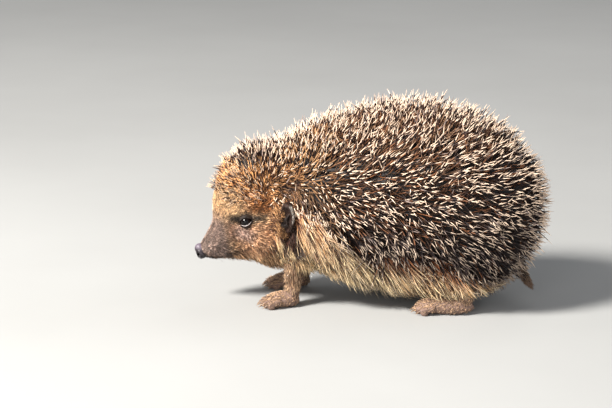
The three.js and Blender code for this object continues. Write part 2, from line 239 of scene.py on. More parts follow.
def eyes(f, x, y, z):
    m = np.abs(y)
    dx, dy, dz = x - EYE[0], m - EYE[1], z - EYE[2]
    a = dx * EYE_SLIT[0] + dy * EYE_SLIT[1] + dz * EYE_SLIT[2]
    b = dx * EYE_UP[0] + dy * EYE_UP[1] + dz * EYE_UP[2]
    c = dx * EYE_OUT[0] + dy * EYE_OUT[1] + dz * EYE_OUT[2]
    r = np.sqrt(dx * dx + dy * dy + dz * dz)
    f = smin(f, r - (EYE_RADIUS + 0.50), 2.4)
    # dip in front of the inner corner and a crease over the upper lid
    dip = np.sqrt((a - 6.2) ** 2 + ((b + 0.4) / 0.7) ** 2 + (c - 1.5) ** 2) - 2.2
    f = smax(f, -dip, 2.0)
    arch = 1 - (a / 4.5) ** 2
    opening = smax(np.maximum(b - 2.45 * arch, -b - 2.45 * arch), -(c - 0.2), 0.5)
    f = smax(f, -opening, 0.35)
    crease = np.abs(r - (EYE_RADIUS + 1.5)) + np.maximum(0, 2.2 - b) * 0.8
    f = f + 0.35 * np.exp(-(crease / 0.55) ** 2) * (c > 0)
    return np.maximum(f, (EYE_RADIUS + 0.06) - r)


def mouth(f, x, y, z):
    m = np.abs(y)
    d = path_distance(x, m, z, MOUTH)
    f = f + 0.75 * np.exp(-(d / 0.75) ** 2)
    # upper lip swells above the line
    lip = path_distance(x, m, z, MOUTH + np.array([0, 0.6, 2.2]))
    f = f - 0.55 * np.exp(-(lip / 2.0) ** 2)
    # groove from the nose down to the lips
    g = round_cone(x, m, z, (-119.5, 0, 31.5), 0.0, (-115.5, 0, 28.6), 0.0)
    f = f + 0.5 * np.exp(-(g / 0.6) ** 2)
    # whisker pads
    pad = ellipsoid(x, m, z, (-108.5, 4.2, 35.2), (6, 3.4, 3.6))
    return smin(f, pad, 3.5)


def leg_points(spec, side):
    dx = spec["step_right"] if side > 0 else 0.0
    at = lambda p: np.array([p[0] + dx, p[1] * side, p[2]])
    foot, wrist = at(spec["foot"]), at(spec["wrist"])
    top = np.array([spec["top"][0], spec["top"][1] * side, spec["top"][2]])
    toes = []
    for i in range(TOE_COUNT):
        f = i / (TOE_COUNT - 1) - 0.5
        reach = 1 - 1.3 * f * f
        knuckle = np.array([foot[0] - spec["foot_r"][0] * 0.62 * reach, foot[1] + side * f * spec["foot_r"][1] * 1.75, 4.4])
        tip = np.array([knuckle[0] - spec["toes"] * (0.8 + 0.5 * reach), knuckle[1] + side * f * 3.2, 3.0])
        claw = np.array([tip[0] - 4.6, tip[1] + side * f * 1.2, 1.1])
        toes.append((knuckle, tip, claw))
    return top, wrist, foot, toes


def leg_stage(spec, side):
    top, wrist, foot, toes = leg_points(spec, side)

    def stage(f, x, y, z):
        limb = round_cone(x, y, z, top, spec["r_top"] - 1.2, wrist, spec["r_wrist"] - 0.9)
        paw = ellipsoid(x, y, z, foot, [r - 0.45 for r in spec["foot_r"]])
        heel = round_cone(x, y, z, (foot[0] + spec["foot_r"][0] * 0.45, foot[1], 5.2), 4.9, wrist, spec["r_wrist"] - 0.8)
        paw = smin(paw, heel, 2.0)
        for knuckle, tip, claw in toes:
            toe = round_cone(x, y, z, knuckle, 2.35, tip, 1.95)
            pad = ellipsoid(x, y, z, (tip[0] + 0.9, tip[1], 1.3), (2.4, 1.8, 1.5))
            paw = smin(paw, smin(toe, pad, 0.8), 0.9)
        return smin(f, smin(limb, paw, 2.5), 3.0)

    lo = np.minimum.reduce([top - spec["r_top"] - 4, foot - np.array(spec["foot_r"]) - 12])
    hi = np.maximum.reduce([top + spec["r_top"] + 4, foot + np.array(spec["foot_r"]) + 6, wrist + 12])
    return lo, hi, stage


def tail_stage(f, x, y, z):
    a, ra, b, rb = TAIL
    return smin(f, round_cone(x, y, z, a, ra - 0.9, b, rb - 0.7), 3.0)


STAGES = []
for side in (-1, 1):
    span = lambda lo, hi: (min(lo * side, hi * side), max(lo * side, hi * side))
    y0, y1 = span(14, 46)
    STAGES.append((np.array([-84, y0, 38]), np.array([-42, y1, 84]), ears))
    y0, y1 = span(4, 28)
    STAGES.append((np.array([-104, y0, 44]), np.array([-78, y1, 68]), eyes))
STAGES.append((np.array([-126, -20, 20]), np.array([-82, 20, 46]), mouth))
for spec in (FRONT_LEG, HIND_LEG):
    for side in (-1, 1):
        STAGES.append(leg_stage(spec, side))
STAGES.append((np.array([80, -14, 4]), np.array([106, 14, 38]), tail_stage))


def skin_at(p):
    """The skin's field at points (n, 3)."""
    x, y, z = p[:, 0], p[:, 1], p[:, 2]
    f = base(x, y, z) + sink(x, z)
    for lo, hi, stage in STAGES:
        m = ((p > lo) & (p < hi)).all(1)
        if m.any():
            f[m] = stage(f[m], x[m], y[m], z[m])
    return np.maximum(f, -z)


def gradient(field, p, e=0.12):
    g = np.stack([field(p + d) - field(p - d) for d in np.eye(3) * e], 1)
    return g / np.maximum(np.linalg.norm(g, axis=1, keepdims=True), 1e-9)


# ------------------------------------------------------------------ the neck's turn and the row frame
def turn_at(x):
    return math.radians(HEAD_TURN) * smooth((TURN_FROM_X - x) / (TURN_FROM_X - TURN_TO_X))


_steps = 240
_step = (140 + TURN_FROM_X) / _steps
_a = turn_at(TURN_FROM_X - (np.arange(_steps) + 0.5) * _step)
_cx = np.concatenate([[TURN_FROM_X], TURN_FROM_X - np.cumsum(np.cos(_a) * _step)])
_cy = np.concatenate([[0.0], -np.cumsum(np.sin(_a) * _step)])


def bend(p):
    x, y, z = p[..., 0], p[..., 1], p[..., 2]
    a = turn_at(x)
    f = np.clip((TURN_FROM_X - x) / _step, 0, _steps - 1e-6)
    i = f.astype(int)
    t = f - i
    ahead = x < TURN_FROM_X
    cx = np.where(ahead, _cx[i] * (1 - t) + _cx[i + 1] * t, x)
    cy = np.where(ahead, _cy[i] * (1 - t) + _cy[i + 1] * t, 0)
    return np.stack([cx - np.sin(a) * y, cy + np.cos(a) * y, z], -1)


def _centre(node):
    lo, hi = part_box(node)
    return (np.array(lo) + np.array(hi)) / 2


_eyes = (_centre("eye_left") + _centre("eye_right")) / 2 * 1000
_mine = (bend(np.array([EYE_AT[0], -EYE_AT[1], EYE_AT[2]])) + bend(np.array(EYE_AT))) / 2
OFFSET = np.array([_eyes[0] - _mine[0], 0.0, 0.0])


def to_row(p):
    """Body space, mm, to the row frame, metres."""
    return (bend(p) + OFFSET) / 1000


# ------------------------------------------------------------------ meshes
def axis(*runs):
    out = []
    for a, b, h in runs:
        n = max(1, int(round((b - a) / h)))
        out.append(np.linspace(a, b, n, endpoint=False))
    out.append([runs[-1][1]])
    return np.concatenate(out)


def surface_nets(f, xs, ys, zs):
    """Quads round the zero level of f on a grid with uneven steps."""
    s = f < 0
    n = np.zeros(tuple(d - 1 for d in f.shape), np.uint8)
    for i in (0, 1):
        for j in (0, 1):
            for k in (0, 1):
                n += s[i:f.shape[0] - 1 + i, j:f.shape[1] - 1 + j, k:f.shape[2] - 1 + k]
    cells = np.argwhere((n > 0) & (n < 8))
    ids = np.full(n.shape, -1, np.int32)
    ids[tuple(cells.T)] = np.arange(len(cells))
    total, count = np.zeros((len(cells), 3)), np.zeros(len(cells))
    axes = (xs, ys, zs)
    corner = lambda o: cells + np.array(o)
    for d in range(3):
        others = [q for q in range(3) if q != d]
        for u in (0, 1):
            for v in (0, 1):
                o = [0, 0, 0]
                o[others[0]], o[others[1]] = u, v
                a = corner(o)
                b = a.copy()
                b[:, d] += 1
                fa, fb = f[tuple(a.T)].astype(float), f[tuple(b.T)].astype(float)
                m = (fa < 0) != (fb < 0)
                t = np.where(m, fa / np.where(m, fa - fb, 1), 0)
                pos = np.stack([axes[q][a[:, q]] for q in range(3)], 1)
                pos[:, d] += t * (axes[d][b[:, d]] - axes[d][a[:, d]])
                total[m] += pos[m]
                count[m] += 1
    verts = total / count[:, None]
    quads = []
    for d in range(3):
        p, q = [(1, 2), (2, 0), (0, 1)][d]
        lo = [slice(None)] * 3
        hi = [slice(None)] * 3
        lo[d], hi[d] = slice(0, -1), slice(1, None)
        change = s[tuple(lo)] != s[tuple(hi)]
        e = np.argwhere(change)
        e = e[(e[:, p] > 0) & (e[:, q] > 0) & (e[:, p] < f.shape[p] - 1) & (e[:, q] < f.shape[q] - 1)]
        c = [e.copy() for _ in range(4)]
        c[0][:, p] -= 1
        c[0][:, q] -= 1
        c[1][:, q] -= 1
        c[3][:, p] -= 1
        quad = np.stack([ids[tuple(k.T)] for k in c], 1)
        flip = ~s[tuple(e.T)]
        quad[flip] = quad[flip][:, ::-1]
        quads.append(quad)
    return verts, np.concatenate(quads)


def settle(p, field, rounds=3, cap=0.35):
    """Moves points onto the field's zero level."""
    for _ in range(rounds):
        e = 0.08
        g = np.stack([field(p + d) - field(p - d) for d in np.eye(3) * e], 1) / (2 * e)
        f = field(p)
        step = f[:, None] * g / np.maximum((g * g).sum(1), 0.15)[:, None]
        size = np.linalg.norm(step, axis=1, keepdims=True)
        p = p - step * np.minimum(1, cap / np.maximum(size, 1e-9))
    return p


def mesh_object(name, verts_row, loops, starts, material, attributes=(), uvs=None, smooth_shade=True):
    me = bpy.data.meshes.new(name)
    me.vertices.add(len(verts_row))
    me.vertices.foreach_set("co", np.ascontiguousarray(verts_row, np.float32).ravel())
    me.loops.add(len(loops))
    me.loops.foreach_set("vertex_index", np.ascontiguousarray(loops, np.int32))
    me.polygons.add(len(starts))
    me.polygons.foreach_set("loop_start", np.ascontiguousarray(starts, np.int32))
    me.update(calc_edges=True)
    me.polygons.foreach_set("use_smooth", np.full(len(starts), smooth_shade))
    if uvs is not None:
        layer = me.uv_layers.new(name="OFBake")
        layer.data.foreach_set("uv", np.ascontiguousarray(uvs, np.float32).ravel())
    for key, kind, value in attributes:
        a = me.attributes.new(key, kind, "POINT")
        if kind == "FLOAT":
            a.data.foreach_set("value", np.ascontiguousarray(value, np.float32).ravel())
        else:
            rgba = np.concatenate([value, np.ones((len(value), 1))], 1)
            a.data.foreach_set("color", np.ascontiguousarray(rgba, np.float32).ravel())
    me.validate()
    me.materials.append(material)
    o = bpy.data.objects.new(name, me)
    bpy.context.scene.collection.objects.link(o)
    return o


def quad_object(name, verts_row, quads, material, attributes=()):
    return mesh_object(name, verts_row, quads.ravel(), np.arange(len(quads)) * 4, material, attributes)


# ------------------------------------------------------------------ materials
def new_material(name):
    m = bpy.data.materials.new(name)
    m.use_nodes = True
    nt = m.node_tree
    bsdf = nt.nodes["Principled BSDF"]
    return m, nt, bsdf


def node(nt, kind, **values):
    n = nt.nodes.new(kind)
    for key, v in values.items():
        if key.startswith("i_"):
            n.inputs[int(key[2:])].default_value = v
        else:
            setattr(n, key, v)
    return n


def math_node(nt, op, a, b=None, clamp=False):
    n = nt.nodes.new("ShaderNodeMath")
    n.operation = op
    n.use_clamp = clamp
    for i, v in enumerate((a, b)):
        if v is None:
            continue
        if isinstance(v, (int, float)):
            n.inputs[i].default_value = v
        else:
            nt.links.new(v, n.inputs[i])
    return n.outputs[0]


def mix_colour(nt, kind, fac, a, b):
    n = nt.nodes.new("ShaderNodeMix")
    n.data_type = "RGBA"
    n.blend_type = kind
    for i, v in ((0, fac), (6, a), (7, b)):
        if isinstance(v, (int, float)):
            n.inputs[i].default_value = v
        elif isinstance(v, (tuple, list, np.ndarray)):
            n.inputs[i].default_value = (*[float(c) for c in v], 1.0)
        else:
            nt.links.new(v, n.inputs[i])
    return n.outputs[2]


def attribute(nt, name):
    n = nt.nodes.new("ShaderNodeAttribute")
    n.attribute_name = name
    return n


def noise(nt, scale, detail=3.0, rough=0.55, vector=None):
    n = nt.nodes.new("ShaderNodeTexNoise")
    n.inputs["Scale"].default_value = scale
    n.inputs["Detail"].default_value = detail
    n.inputs["Roughness"].default_value = rough
    if vector is None:
        vector = nt.nodes.new("ShaderNodeTexCoord").outputs["Object"]
    nt.links.new(vector, n.inputs["Vector"])
    return n.outputs["Fac"]


def bump(nt, bsdf, height, strength, distance):
    n = nt.nodes.new("ShaderNodeBump")
    n.inputs["Strength"].default_value = strength
    n.inputs["Distance"].default_value = distance
    nt.links.new(height, n.inputs["Height"])
    nt.links.new(n.outputs[0], bsdf.inputs["Normal"])


def ramp(nt, fac, stops):
    n = nt.nodes.new("ShaderNodeValToRGB")
    n.color_ramp.interpolation = "LINEAR"
    while len(n.color_ramp.elements) < len(stops):
        n.color_ramp.elements.new(0.5)
    for e, (pos, c) in zip(n.color_ramp.elements, stops):
        e.position = pos
        e.color = (*[float(v) for v in c], 1.0)
    nt.links.new(fac, n.inputs[0])
    return n.outputs[0]


def quill_material():
    m, nt, b = new_material("quill_keratin")
    zone = attribute(nt, "zone").outputs["Fac"]
    tip_mask = ramp(nt, zone, [(0.60, (0, 0, 0)), (0.85, (1, 1, 1))])
    base_mask = ramp(nt, zone, [(0.12, (1, 1, 1)), (0.40, (0, 0, 0))])
    band = mix_colour(nt, "MIX", tip_mask, attribute(nt, "band_c").outputs["Color"], attribute(nt, "tip_c").outputs["Color"])
    colour = mix_colour(nt, "MIX", base_mask, band, attribute(nt, "base_c").outputs["Color"])
    grain = noise(nt, 900.0, 2.0)
    grey = ramp(nt, grain, [(0.3, (0.76, 0.74, 0.72)), (0.7, (1.12, 1.1, 1.07))])
    nt.links.new(mix_colour(nt, "MULTIPLY", 1.0, colour, grey), b.inputs["Base Color"])
    b.inputs["Roughness"].default_value = 0.48
    b.inputs["Specular IOR Level"].default_value = 0.30
    bump(nt, b, grain, 0.25, 0.0002)
    return m


def hair_material(name, roughness=0.58, spread=0.5):
    m, nt, b = new_material(name)
    tint = attribute(nt, "tint").outputs["Color"]
    seed = attribute(nt, "seed").outputs["Fac"]
    light = math_node(nt, "ADD", math_node(nt, "MULTIPLY", seed, spread), 1.0 - spread * 0.5)
    value = nt.nodes.new("ShaderNodeCombineColor")
    for i in range(3):
        nt.links.new(light, value.inputs[i])
    colour = mix_colour(nt, "MULTIPLY", 1.0, tint, value.outputs[0])
    patches = ramp(nt, noise(nt, 260.0, 3.0), [(0.3, (0.82, 0.80, 0.78)), (0.7, (1.15, 1.13, 1.1))])
    colour = mix_colour(nt, "MULTIPLY", 1.0, colour, patches)
    nt.links.new(colour, b.inputs["Base Color"])
    b.inputs["Roughness"].default_value = roughness
    b.inputs["Specular IOR Level"].default_value = 0.35
    b.inputs["Sheen Weight"].default_value = 0.12
    b.inputs["Sheen Roughness"].default_value = 0.4
    bump(nt, b, noise(nt, 2400.0, 2.0), 0.15, 0.0001)
    return m


def skin_material():
    m, nt, b = new_material("hide")
    tint = attribute(nt, "tint").outputs["Color"]
    mottled = ramp(nt, noise(nt, 420.0, 5.0, 0.6), [(0.28, (0.62, 0.58, 0.55)), (0.5, (0.98, 0.96, 0.94)), (0.74, (1.28, 1.22, 1.16))])
    colour = mix_colour(nt, "MULTIPLY", 1.0, tint, mottled)
    nt.links.new(colour, b.inputs["Base Color"])
    b.inputs["Roughness"].default_value = 0.62
    b.inputs["Specular IOR Level"].default_value = 0.3
    wrinkle = nt.nodes.new("ShaderNodeTexVoronoi")
    wrinkle.feature = "DISTANCE_TO_EDGE"
    wrinkle.inputs["Scale"].default_value = 1500.0
    nt.links.new(nt.nodes.new("ShaderNodeTexCoord").outputs["Object"], wrinkle.inputs["Vector"])
    height = math_node(nt, "ADD", math_node(nt, "MULTIPLY", wrinkle.outputs["Distance"], 1.2), noise(nt, 3200.0, 4.0))
    bump(nt, b, height, 0.45, 0.00025)
    return m


def nose_material():
    m, nt, b = new_material("rhinarium")
    pebbles = nt.nodes.new("ShaderNodeTexVoronoi")
    pebbles.feature = "SMOOTH_F1"
    pebbles.inputs["Scale"].default_value = 1900.0
    nt.links.new(nt.nodes.new("ShaderNodeTexCoord").outputs["Object"], pebbles.inputs["Vector"])
    d = pebbles.outputs["Distance"]
    tint = attribute(nt, "tint").outputs["Color"]
    # pebble tops lighter, grooves between them darker: painted shade in the grooves
    tone = ramp(nt, d, [(0.0, (1.25, 1.2, 1.25)), (0.6, (0.7, 0.68, 0.7))])
    nt.links.new(mix_colour(nt, "MULTIPLY", 1.0, tint, tone), b.inputs["Base Color"])
    b.inputs["Roughness"].default_value = 0.46
    b.inputs["Specular IOR Level"].default_value = 0.45
    b.inputs["Coat Weight"].default_value = 0.12
    b.inputs["Coat Roughness"].default_value = 0.30
    bump(nt, b, math_node(nt, "SUBTRACT", 1.0, d), 0.7, 0.0003)
    return m


def eye_material():
    m, nt, b = new_material("eye_wet")
    tint = attribute(nt, "tint").outputs["Color"]
    depth = ramp(nt, noise(nt, 1300.0, 2.0), [(0.3, (0.8, 0.8, 0.8)), (0.7, (1.2, 1.1, 1.05))])
    nt.links.new(mix_colour(nt, "MULTIPLY", 1.0, tint, depth), b.inputs["Base Color"])
    b.inputs["Roughness"].default_value = 0.03
    b.inputs["Specular IOR Level"].default_value = 0.26
    return m


def lid_highlight_material():
    m, nt, b = new_material("lid_margin_painted_highlight")
    # pale, near white: painted highlight of the wet lower lid margin; the gloss is real
    tone = ramp(nt, noise(nt, 1500.0, 3.0), [(0.3, srgb(176, 160, 158)), (0.7, srgb(236, 226, 224))])
    nt.links.new(tone, b.inputs["Base Color"])
    b.inputs["Roughness"].default_value = 0.15
    b.inputs["Coat Weight"].default_value = 0.6
    b.inputs["Coat Roughness"].default_value = 0.05
    return m


def claw_material():
    m, nt, b = new_material("claw_horn")
    along = attribute(nt, "along").outputs["Fac"]
    colour = ramp(nt, along, [(0.0, srgb(58, 42, 36)), (0.55, srgb(92, 70, 56)), (1.0, srgb(168, 138, 108))])
    streaks = ramp(nt, noise(nt, 2600.0, 3.0), [(0.3, (0.75, 0.73, 0.7)), (0.7, (1.15, 1.12, 1.1))])
    nt.links.new(mix_colour(nt, "MULTIPLY", 1.0, colour, streaks), b.inputs["Base Color"])
    b.inputs["Roughness"].default_value = 0.35
    bump(nt, b, noise(nt, 4200.0, 2.0), 0.2, 0.0001)
    return m


def floor_material():
    m, nt, b = new_material("studio_floor")
    c = ramp(nt, noise(nt, 3.0, 4.0), [(0.3, (0.315, 0.315, 0.31)), (0.7, (0.345, 0.345, 0.34))])
    nt.links.new(c, b.inputs["Base Color"])
    b.inputs["Roughness"].default_value = 0.85
    b.inputs["Specular IOR Level"].default_value = 0.15
    return m


# ------------------------------------------------------------------ markings, with some painted light and shade: one set of rules for skin and coat
C_SOOT = srgb(50, 27, 16)
C_MUZZLE = srgb(145, 124, 115)
C_BRIDGE_FUR_AND_SHADE = srgb(116, 84, 72)
C_FOREHEAD = srgb(226, 190, 148)
C_TEMPLE = srgb(158, 106, 64)
C_CHEEK = srgb(202, 159, 124)
C_CHIN = srgb(192, 162, 128)
C_BROW = srgb(213, 155, 97)
C_DARK = srgb(40, 25, 18)
C_STRAW_TIP = srgb(252, 223, 180)
C_STRAW_ROOT = srgb(164, 106, 64)
C_FLANK_TIP = srgb(244, 219, 177)
C_FLANK_ROOT = srgb(104, 66, 43)
C_BELLY = srgb(124, 98, 76)
C_LEG = srgb(166, 138, 112)
C_EAR_RIM = srgb(234, 227, 218)
C_EAR_SKIN = srgb(49, 29, 20)
C_FOOT = srgb(120, 98, 88)
C_HIDE_AND_SHADE = srgb(19, 13, 12)


def mirrored(p):
    return np.stack([p[:, 0], np.abs(p[:, 1]), p[:, 2]], 1)


def _near(p, at, r):
    """1 at a point, 0 beyond r; the body's two sides are alike."""
    r = np.array(r if hasattr(r, "__len__") else (r, r, r), float)
    return smooth(1.25 - np.linalg.norm((mirrored(p) - np.array(at)) / r, axis=1))[:, None]


def below_ear(p):
    """Dark hair in front of, inside and below the ear."""
    return np.maximum(_near(p, (-61.4, 28, 45.5), (10.0, 16, 12.0)), _near(p, (-66.0, 26, 54.0), (5.5, 12, 10)) * 0.9)


def hair_below_ear(p):
    """The same for the roots of long hair, whose ends lie lower and farther back."""
    return below_ear(p + np.array([4.0, 0, -6.0]))


def face_colour(p):
    """Colour of the short fur of the head at points in body space."""
    x, z = p[:, 0:1], p[:, 2:3]
    c = np.repeat(C_FOREHEAD[None], len(p), 0)
    c = mix(c, C_TEMPLE, smooth((x + 98) / 12) * smooth((z - 57) / 7))
    c = mix(c, srgb(124, 78, 42), _near(p, (-80, 18, 62.5), (9, 10, 4)) * 0.75)
    c = mix(c, C_CHEEK, smooth((x + 104) / 12) * smooth((58 - z) / 7))
    c = mix(c, C_CHEEK * np.array([1.10, 1.05, 1.0]), _near(p, (-76, 22, 50), (8, 12, 8)) * 0.8)
    c = mix(c, srgb(206, 178, 168), _near(p, (-93, 16, 47), (8.5, 12, 8)) * 0.85)
    muzzle = smooth((-96.5 - x - (z - 45) * 0.16) / 9) * smooth((66 - z) / 16)
    c = mix(c, C_MUZZLE, muzzle)
    # a darker bridge runs from the inner corner of the eye down the side of the muzzle: partly darker fur, partly
    # painted shade along the side of the snout
    c = mix(c, C_BRIDGE_FUR_AND_SHADE, _near(p, (-99.5, 11, 49), (4.2, 9, 10)) * 0.75)
    c = mix(c, C_DARK * 0.6, _near(p, (-97.0, 14, 56.4), (7.0, 10, 3.4)) * 0.96)
    c = mix(c, C_DARK * 0.4, _near(p, (-90.4, 17, 56.6), (8.2, 9, 6.0)) * 0.97)
    c = mix(c, C_DARK * 0.6, _near(p, (-83.0, 18, 57.8), (6.5, 8, 2.6)) * 0.88)
    c = mix(c, C_DARK * 1.6, _near(p, (-113.5, 2, 29.5), (5.0, 7, 3.6)) * 0.85)
    c = mix(c, C_DARK * 2.2, _near(p, (-98, 13, 36.5), (6.5, 8, 3.0)) * 0.6)
    # dark lip
    lip = path_distance(p[:, 0], np.abs(p[:, 1]), p[:, 2], MOUTH)[:, None]
    below = smooth((33.5 - z + (x + 95) * 0.12) / 5) * smooth((x + 113) / 10)
    c = mix(c, C_CHIN * mix(1.0, 1.4, smooth((x + 97) / 12)), below * 0.8)
    c = mix(c, C_DARK * 1.2, smooth(1.2 - lip / 2.6) * 0.85)
    c = mix(c, C_DARK * 1.3, below_ear(p) * 0.93)
    return c


def over_ear(p):
    """Darker quills and hair over and behind the ear."""
    return np.maximum(_near(p, (-46, 31, 73), (20, 20, 14)), _near(p, (-63, 27, 76), (17, 21, 14)))


def face_share(p):
    """1 on the head, 0 on the trunk, along the cut behind the ear."""
    return smooth((-59.0 - p[:, 0] + (p[:, 2] - 55) * 0.2) / 5)


def fur_root_colour(p):
    c = np.repeat(C_FLANK_ROOT[None], len(p), 0)
    c = mix(c, C_STRAW_ROOT, smooth((-18 - p[:, 0:1]) / 26))
    # roots much lighter toward the rear flank, which turns down away from the light: painted light
    c = c * mix(1.0, 3.3, smooth((p[:, 0:1] + 10) / 45))
    c = mix(c, C_BELLY * 0.6, smooth((24 - np.abs(p[:, 1:2])) / 12) * smooth((34 - p[:, 2:3]) / 8))
    return mix(c, C_DARK * 1.3, below_ear(p) * 0.9)


def fur_tip_colour(p):
    c = np.repeat(C_FLANK_TIP[None], len(p), 0)
    c = mix(c, C_STRAW_TIP, smooth((-18 - p[:, 0:1]) / 26))
    # tips lighter toward the rear flank, which turns down away from the light: painted light
    c = c * mix(0.96, 1.42, smooth((p[:, 0:1] + 10) / 55))
    c = c * mix(1.0, np.array([0.98, 1.0, 1.0]), smooth((60 - p[:, 2:3]) / 14))
    c = mix(c, C_FLANK_TIP * np.array([0.80, 0.66, 0.56]), smooth((p[:, 0:1] - 72) / 24) * 0.5)
    c = mix(c, C_BELLY * 1.1, smooth((24 - np.abs(p[:, 1:2])) / 12) * smooth((34 - p[:, 2:3]) / 8))
    return mix(c, C_DARK * 1.6, below_ear(p) * 0.9)


def ear_distance(p):
    u, v, w = ear_local(*p.T)
    return ellipsoid(u, v, w, (0, 0, 0), EAR_SHELL)


def in_ear(p):
    """1 inside the cup of the ear, 0 on its back and beyond it."""
    u, v, w = ear_local(*p.T)
    cup = ellipsoid(u, v, w, (-0.7, 1.4, -0.3), (5.6, 3.5, 9.6))
    return smooth(0.9 - cup / 0.8) * (v > -3.2) * (np.abs(p[:, 1]) > 18)


def skin_colour(p):
    """The hide under and between the coat."""
    share = face_share(p)[:, None]
    c = mix(fur_root_colour(p) * 0.7, face_colour(p) * 0.7, share)
    c = mix(c, C_MUZZLE * 0.35, smooth((-108 - p[:, 0:1]) / 5))
    # near black under the quills: dark skin, and painted shade in the gaps between the quills
    c = mix(c, C_HIDE_AND_SHADE, quill_share(p[:, 0], p[:, 2])[:, None] * smooth((p[:, 2:3] - edge_z(p[:, 0:1]) + 2) / 6))
    c = mix(c, srgb(84, 60, 48), _near(p, (-74, 0, 84), (14, 14, 14)) * 0.8)  # the bare parting of the crown
    ear = smooth(1 - (ear_distance(p)[:, None] - 0.4) / 1.2) * (np.abs(p[:, 1:2]) > 22)
    c = mix(c, C_EAR_SKIN, ear)
    c = mix(c, C_DARK * 0.45, in_ear(p)[:, None] * 0.95)
    # lids
    d = mirrored(p) - EYE
    r = np.linalg.norm(d, axis=1)[:, None]
    c = mix(c, C_DARK * 0.5, smooth((EYE_RADIUS + 2.4 - r) / 1.2) * 0.95)
    return mix(c, C_FOOT, smooth((16 - p[:, 2:3]) / 5))


# ------------------------------------------------------------------ skin
HEAD_FINE = 0.62
xs = axis((-124, -98, HEAD_FINE), (-98, -82, 0.40), (-82, -50, 0.62), (-50, 8, 2.4), (8, 72, 1.15), (72, 112, 2.2))
_half = [(-58, -44, 2.2), (-44, -34, 1.1), (-34, -21, 0.65), (-21, -11, 0.42), (-11, 11, 0.65), (11, 21, 0.42), (21, 34, 0.65), (34, 44, 1.1), (44, 58, 2.2)]
ys = axis(*_half)
zs = axis((-1.2, 13, 0.6), (13, 26, 1.05), (26, 49, 0.7), (49, 62, 0.42), (62, 76, 0.65), (76, 96, 1.3), (96, 134, 2.4))
F = (base(xs[:, None, None], ys[None, :, None], zs[None, None, :]) + sink(xs[:, None, None], zs[None, None, :])).astype(np.float32)
for lo, hi, stage in STAGES:
    a = [np.searchsorted(v, l) for v, l in zip((xs, ys, zs), lo)]
    b = [np.searchsorted(v, h) for v, h in zip((xs, ys, zs), hi)]
    part = F[a[0]:b[0], a[1]:b[1], a[2]:b[2]]
    part[...] = stage(part, xs[a[0]:b[0], None, None], ys[None, a[1]:b[1], None], zs[None, None, a[2]:b[2]])
F = np.maximum(F, -zs[None, None, :].astype(np.float32))
SKIN_V, SKIN_Q = surface_nets(F, xs, ys, zs)
del F
SKIN_V = settle(SKIN_V, skin_at)
SKIN_N = gradient(skin_at, SKIN_V)
hide = skin_material()
skin = quad_object("skin", to_row(SKIN_V), SKIN_Q, hide, [("tint", "FLOAT_COLOR", skin_colour(SKIN_V))])
bpy.ops.object.select_all(action="DESELECT")
skin.select_set(True)
bpy.context.view_layer.objects.active = skin
skin.data.uv_layers.new(name="OFBake")
bpy.ops.object.mode_set(mode="EDIT")
bpy.ops.mesh.select_all(action="SELECT")
bpy.ops.uv.smart_project(angle_limit=math.radians(72), island_margin=0.0008, area_weight=0.0, correct_aspect=False)
bpy.ops.object.mode_set(mode="OBJECT")
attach(skin, "root")
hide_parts("head", "neck", "belly", "crown_quills", "back_quills", "ear_left", "ear_right", "tail",
            *[f"{k}_{part}_{s}" for k in ("front", "hind") for part in ("leg", "foot") for s in ("left", "right")])

_me = skin.data
_me.calc_loop_triangles()
_nt = len(_me.loop_triangles)
TRI_V = np.empty(_nt * 3, np.int32)
_me.loop_triangles.foreach_get("vertices", TRI_V)
TRI_V = TRI_V.reshape(-1, 3)
TRI_L = np.empty(_nt * 3, np.int32)
_me.loop_triangles.foreach_get("loops", TRI_L)
TRI_L = TRI_L.reshape(-1, 3)
_uv = np.empty(len(_me.loops) * 2, np.float32)
_me.uv_layers["OFBake"].data.foreach_get("uv", _uv)
TRI_UV = _uv.reshape(-1, 2)[TRI_L]
TRI_P = SKIN_V[TRI_V]
TRI_C = TRI_P.mean(1)
TRI_A = np.linalg.norm(np.cross(TRI_P[:, 1] - TRI_P[:, 0], TRI_P[:, 2] - TRI_P[:, 0]), axis=1) / 2
print("skin", len(SKIN_V), "verts", _nt, "tris")


# ------------------------------------------------------------------ grooming
def roots(density, count):
    """count random places on the skin, weighted by density at (n, 3) points: position, normal, OFBake uv."""
    w = TRI_A * np.maximum(density(TRI_C), 0)
    t = rng.choice(len(w), size=count, p=w / w.sum())
    a, b = rng.random(count), rng.random(count)
    over = a + b > 1
    a[over], b[over] = 1 - a[over], 1 - b[over]
    k = np.stack([1 - a - b, a, b], 1)
    p = (TRI_P[t] * k[:, :, None]).sum(1)
    n = (SKIN_N[TRI_V[t]] * k[:, :, None]).sum(1)
    n /= np.linalg.norm(n, axis=1, keepdims=True)
    return p, n, (TRI_UV[t] * k[:, :, None]).sum(1)


def thinned(p, spacing):
    """Indices of points kept so that no two are nearer than spacing(p)."""
    cell = float(np.max(spacing))
    grid, keep = {}, []
    key = np.floor(p / cell).astype(int)
    for i in range(len(p)):
        kx, ky, kz = key[i]
        ok = True
        for dx in (-1, 0, 1):
            for dy in (-1, 0, 1):
                for dz in (-1, 0, 1):
                    for j in grid.get((kx + dx, ky + dy, kz + dz), ()):
                        if (p[i][0] - p[j][0]) ** 2 + (p[i][1] - p[j][1]) ** 2 + (p[i][2] - p[j][2]) ** 2 < spacing[i] ** 2:
                            ok = False
                            break
                    if not ok:
                        break
                if not ok:
                    break
            if not ok:
                break
        if ok:
            grid.setdefault((kx, ky, kz), []).append(i)
            keep.append(i)
    return np.array(keep)


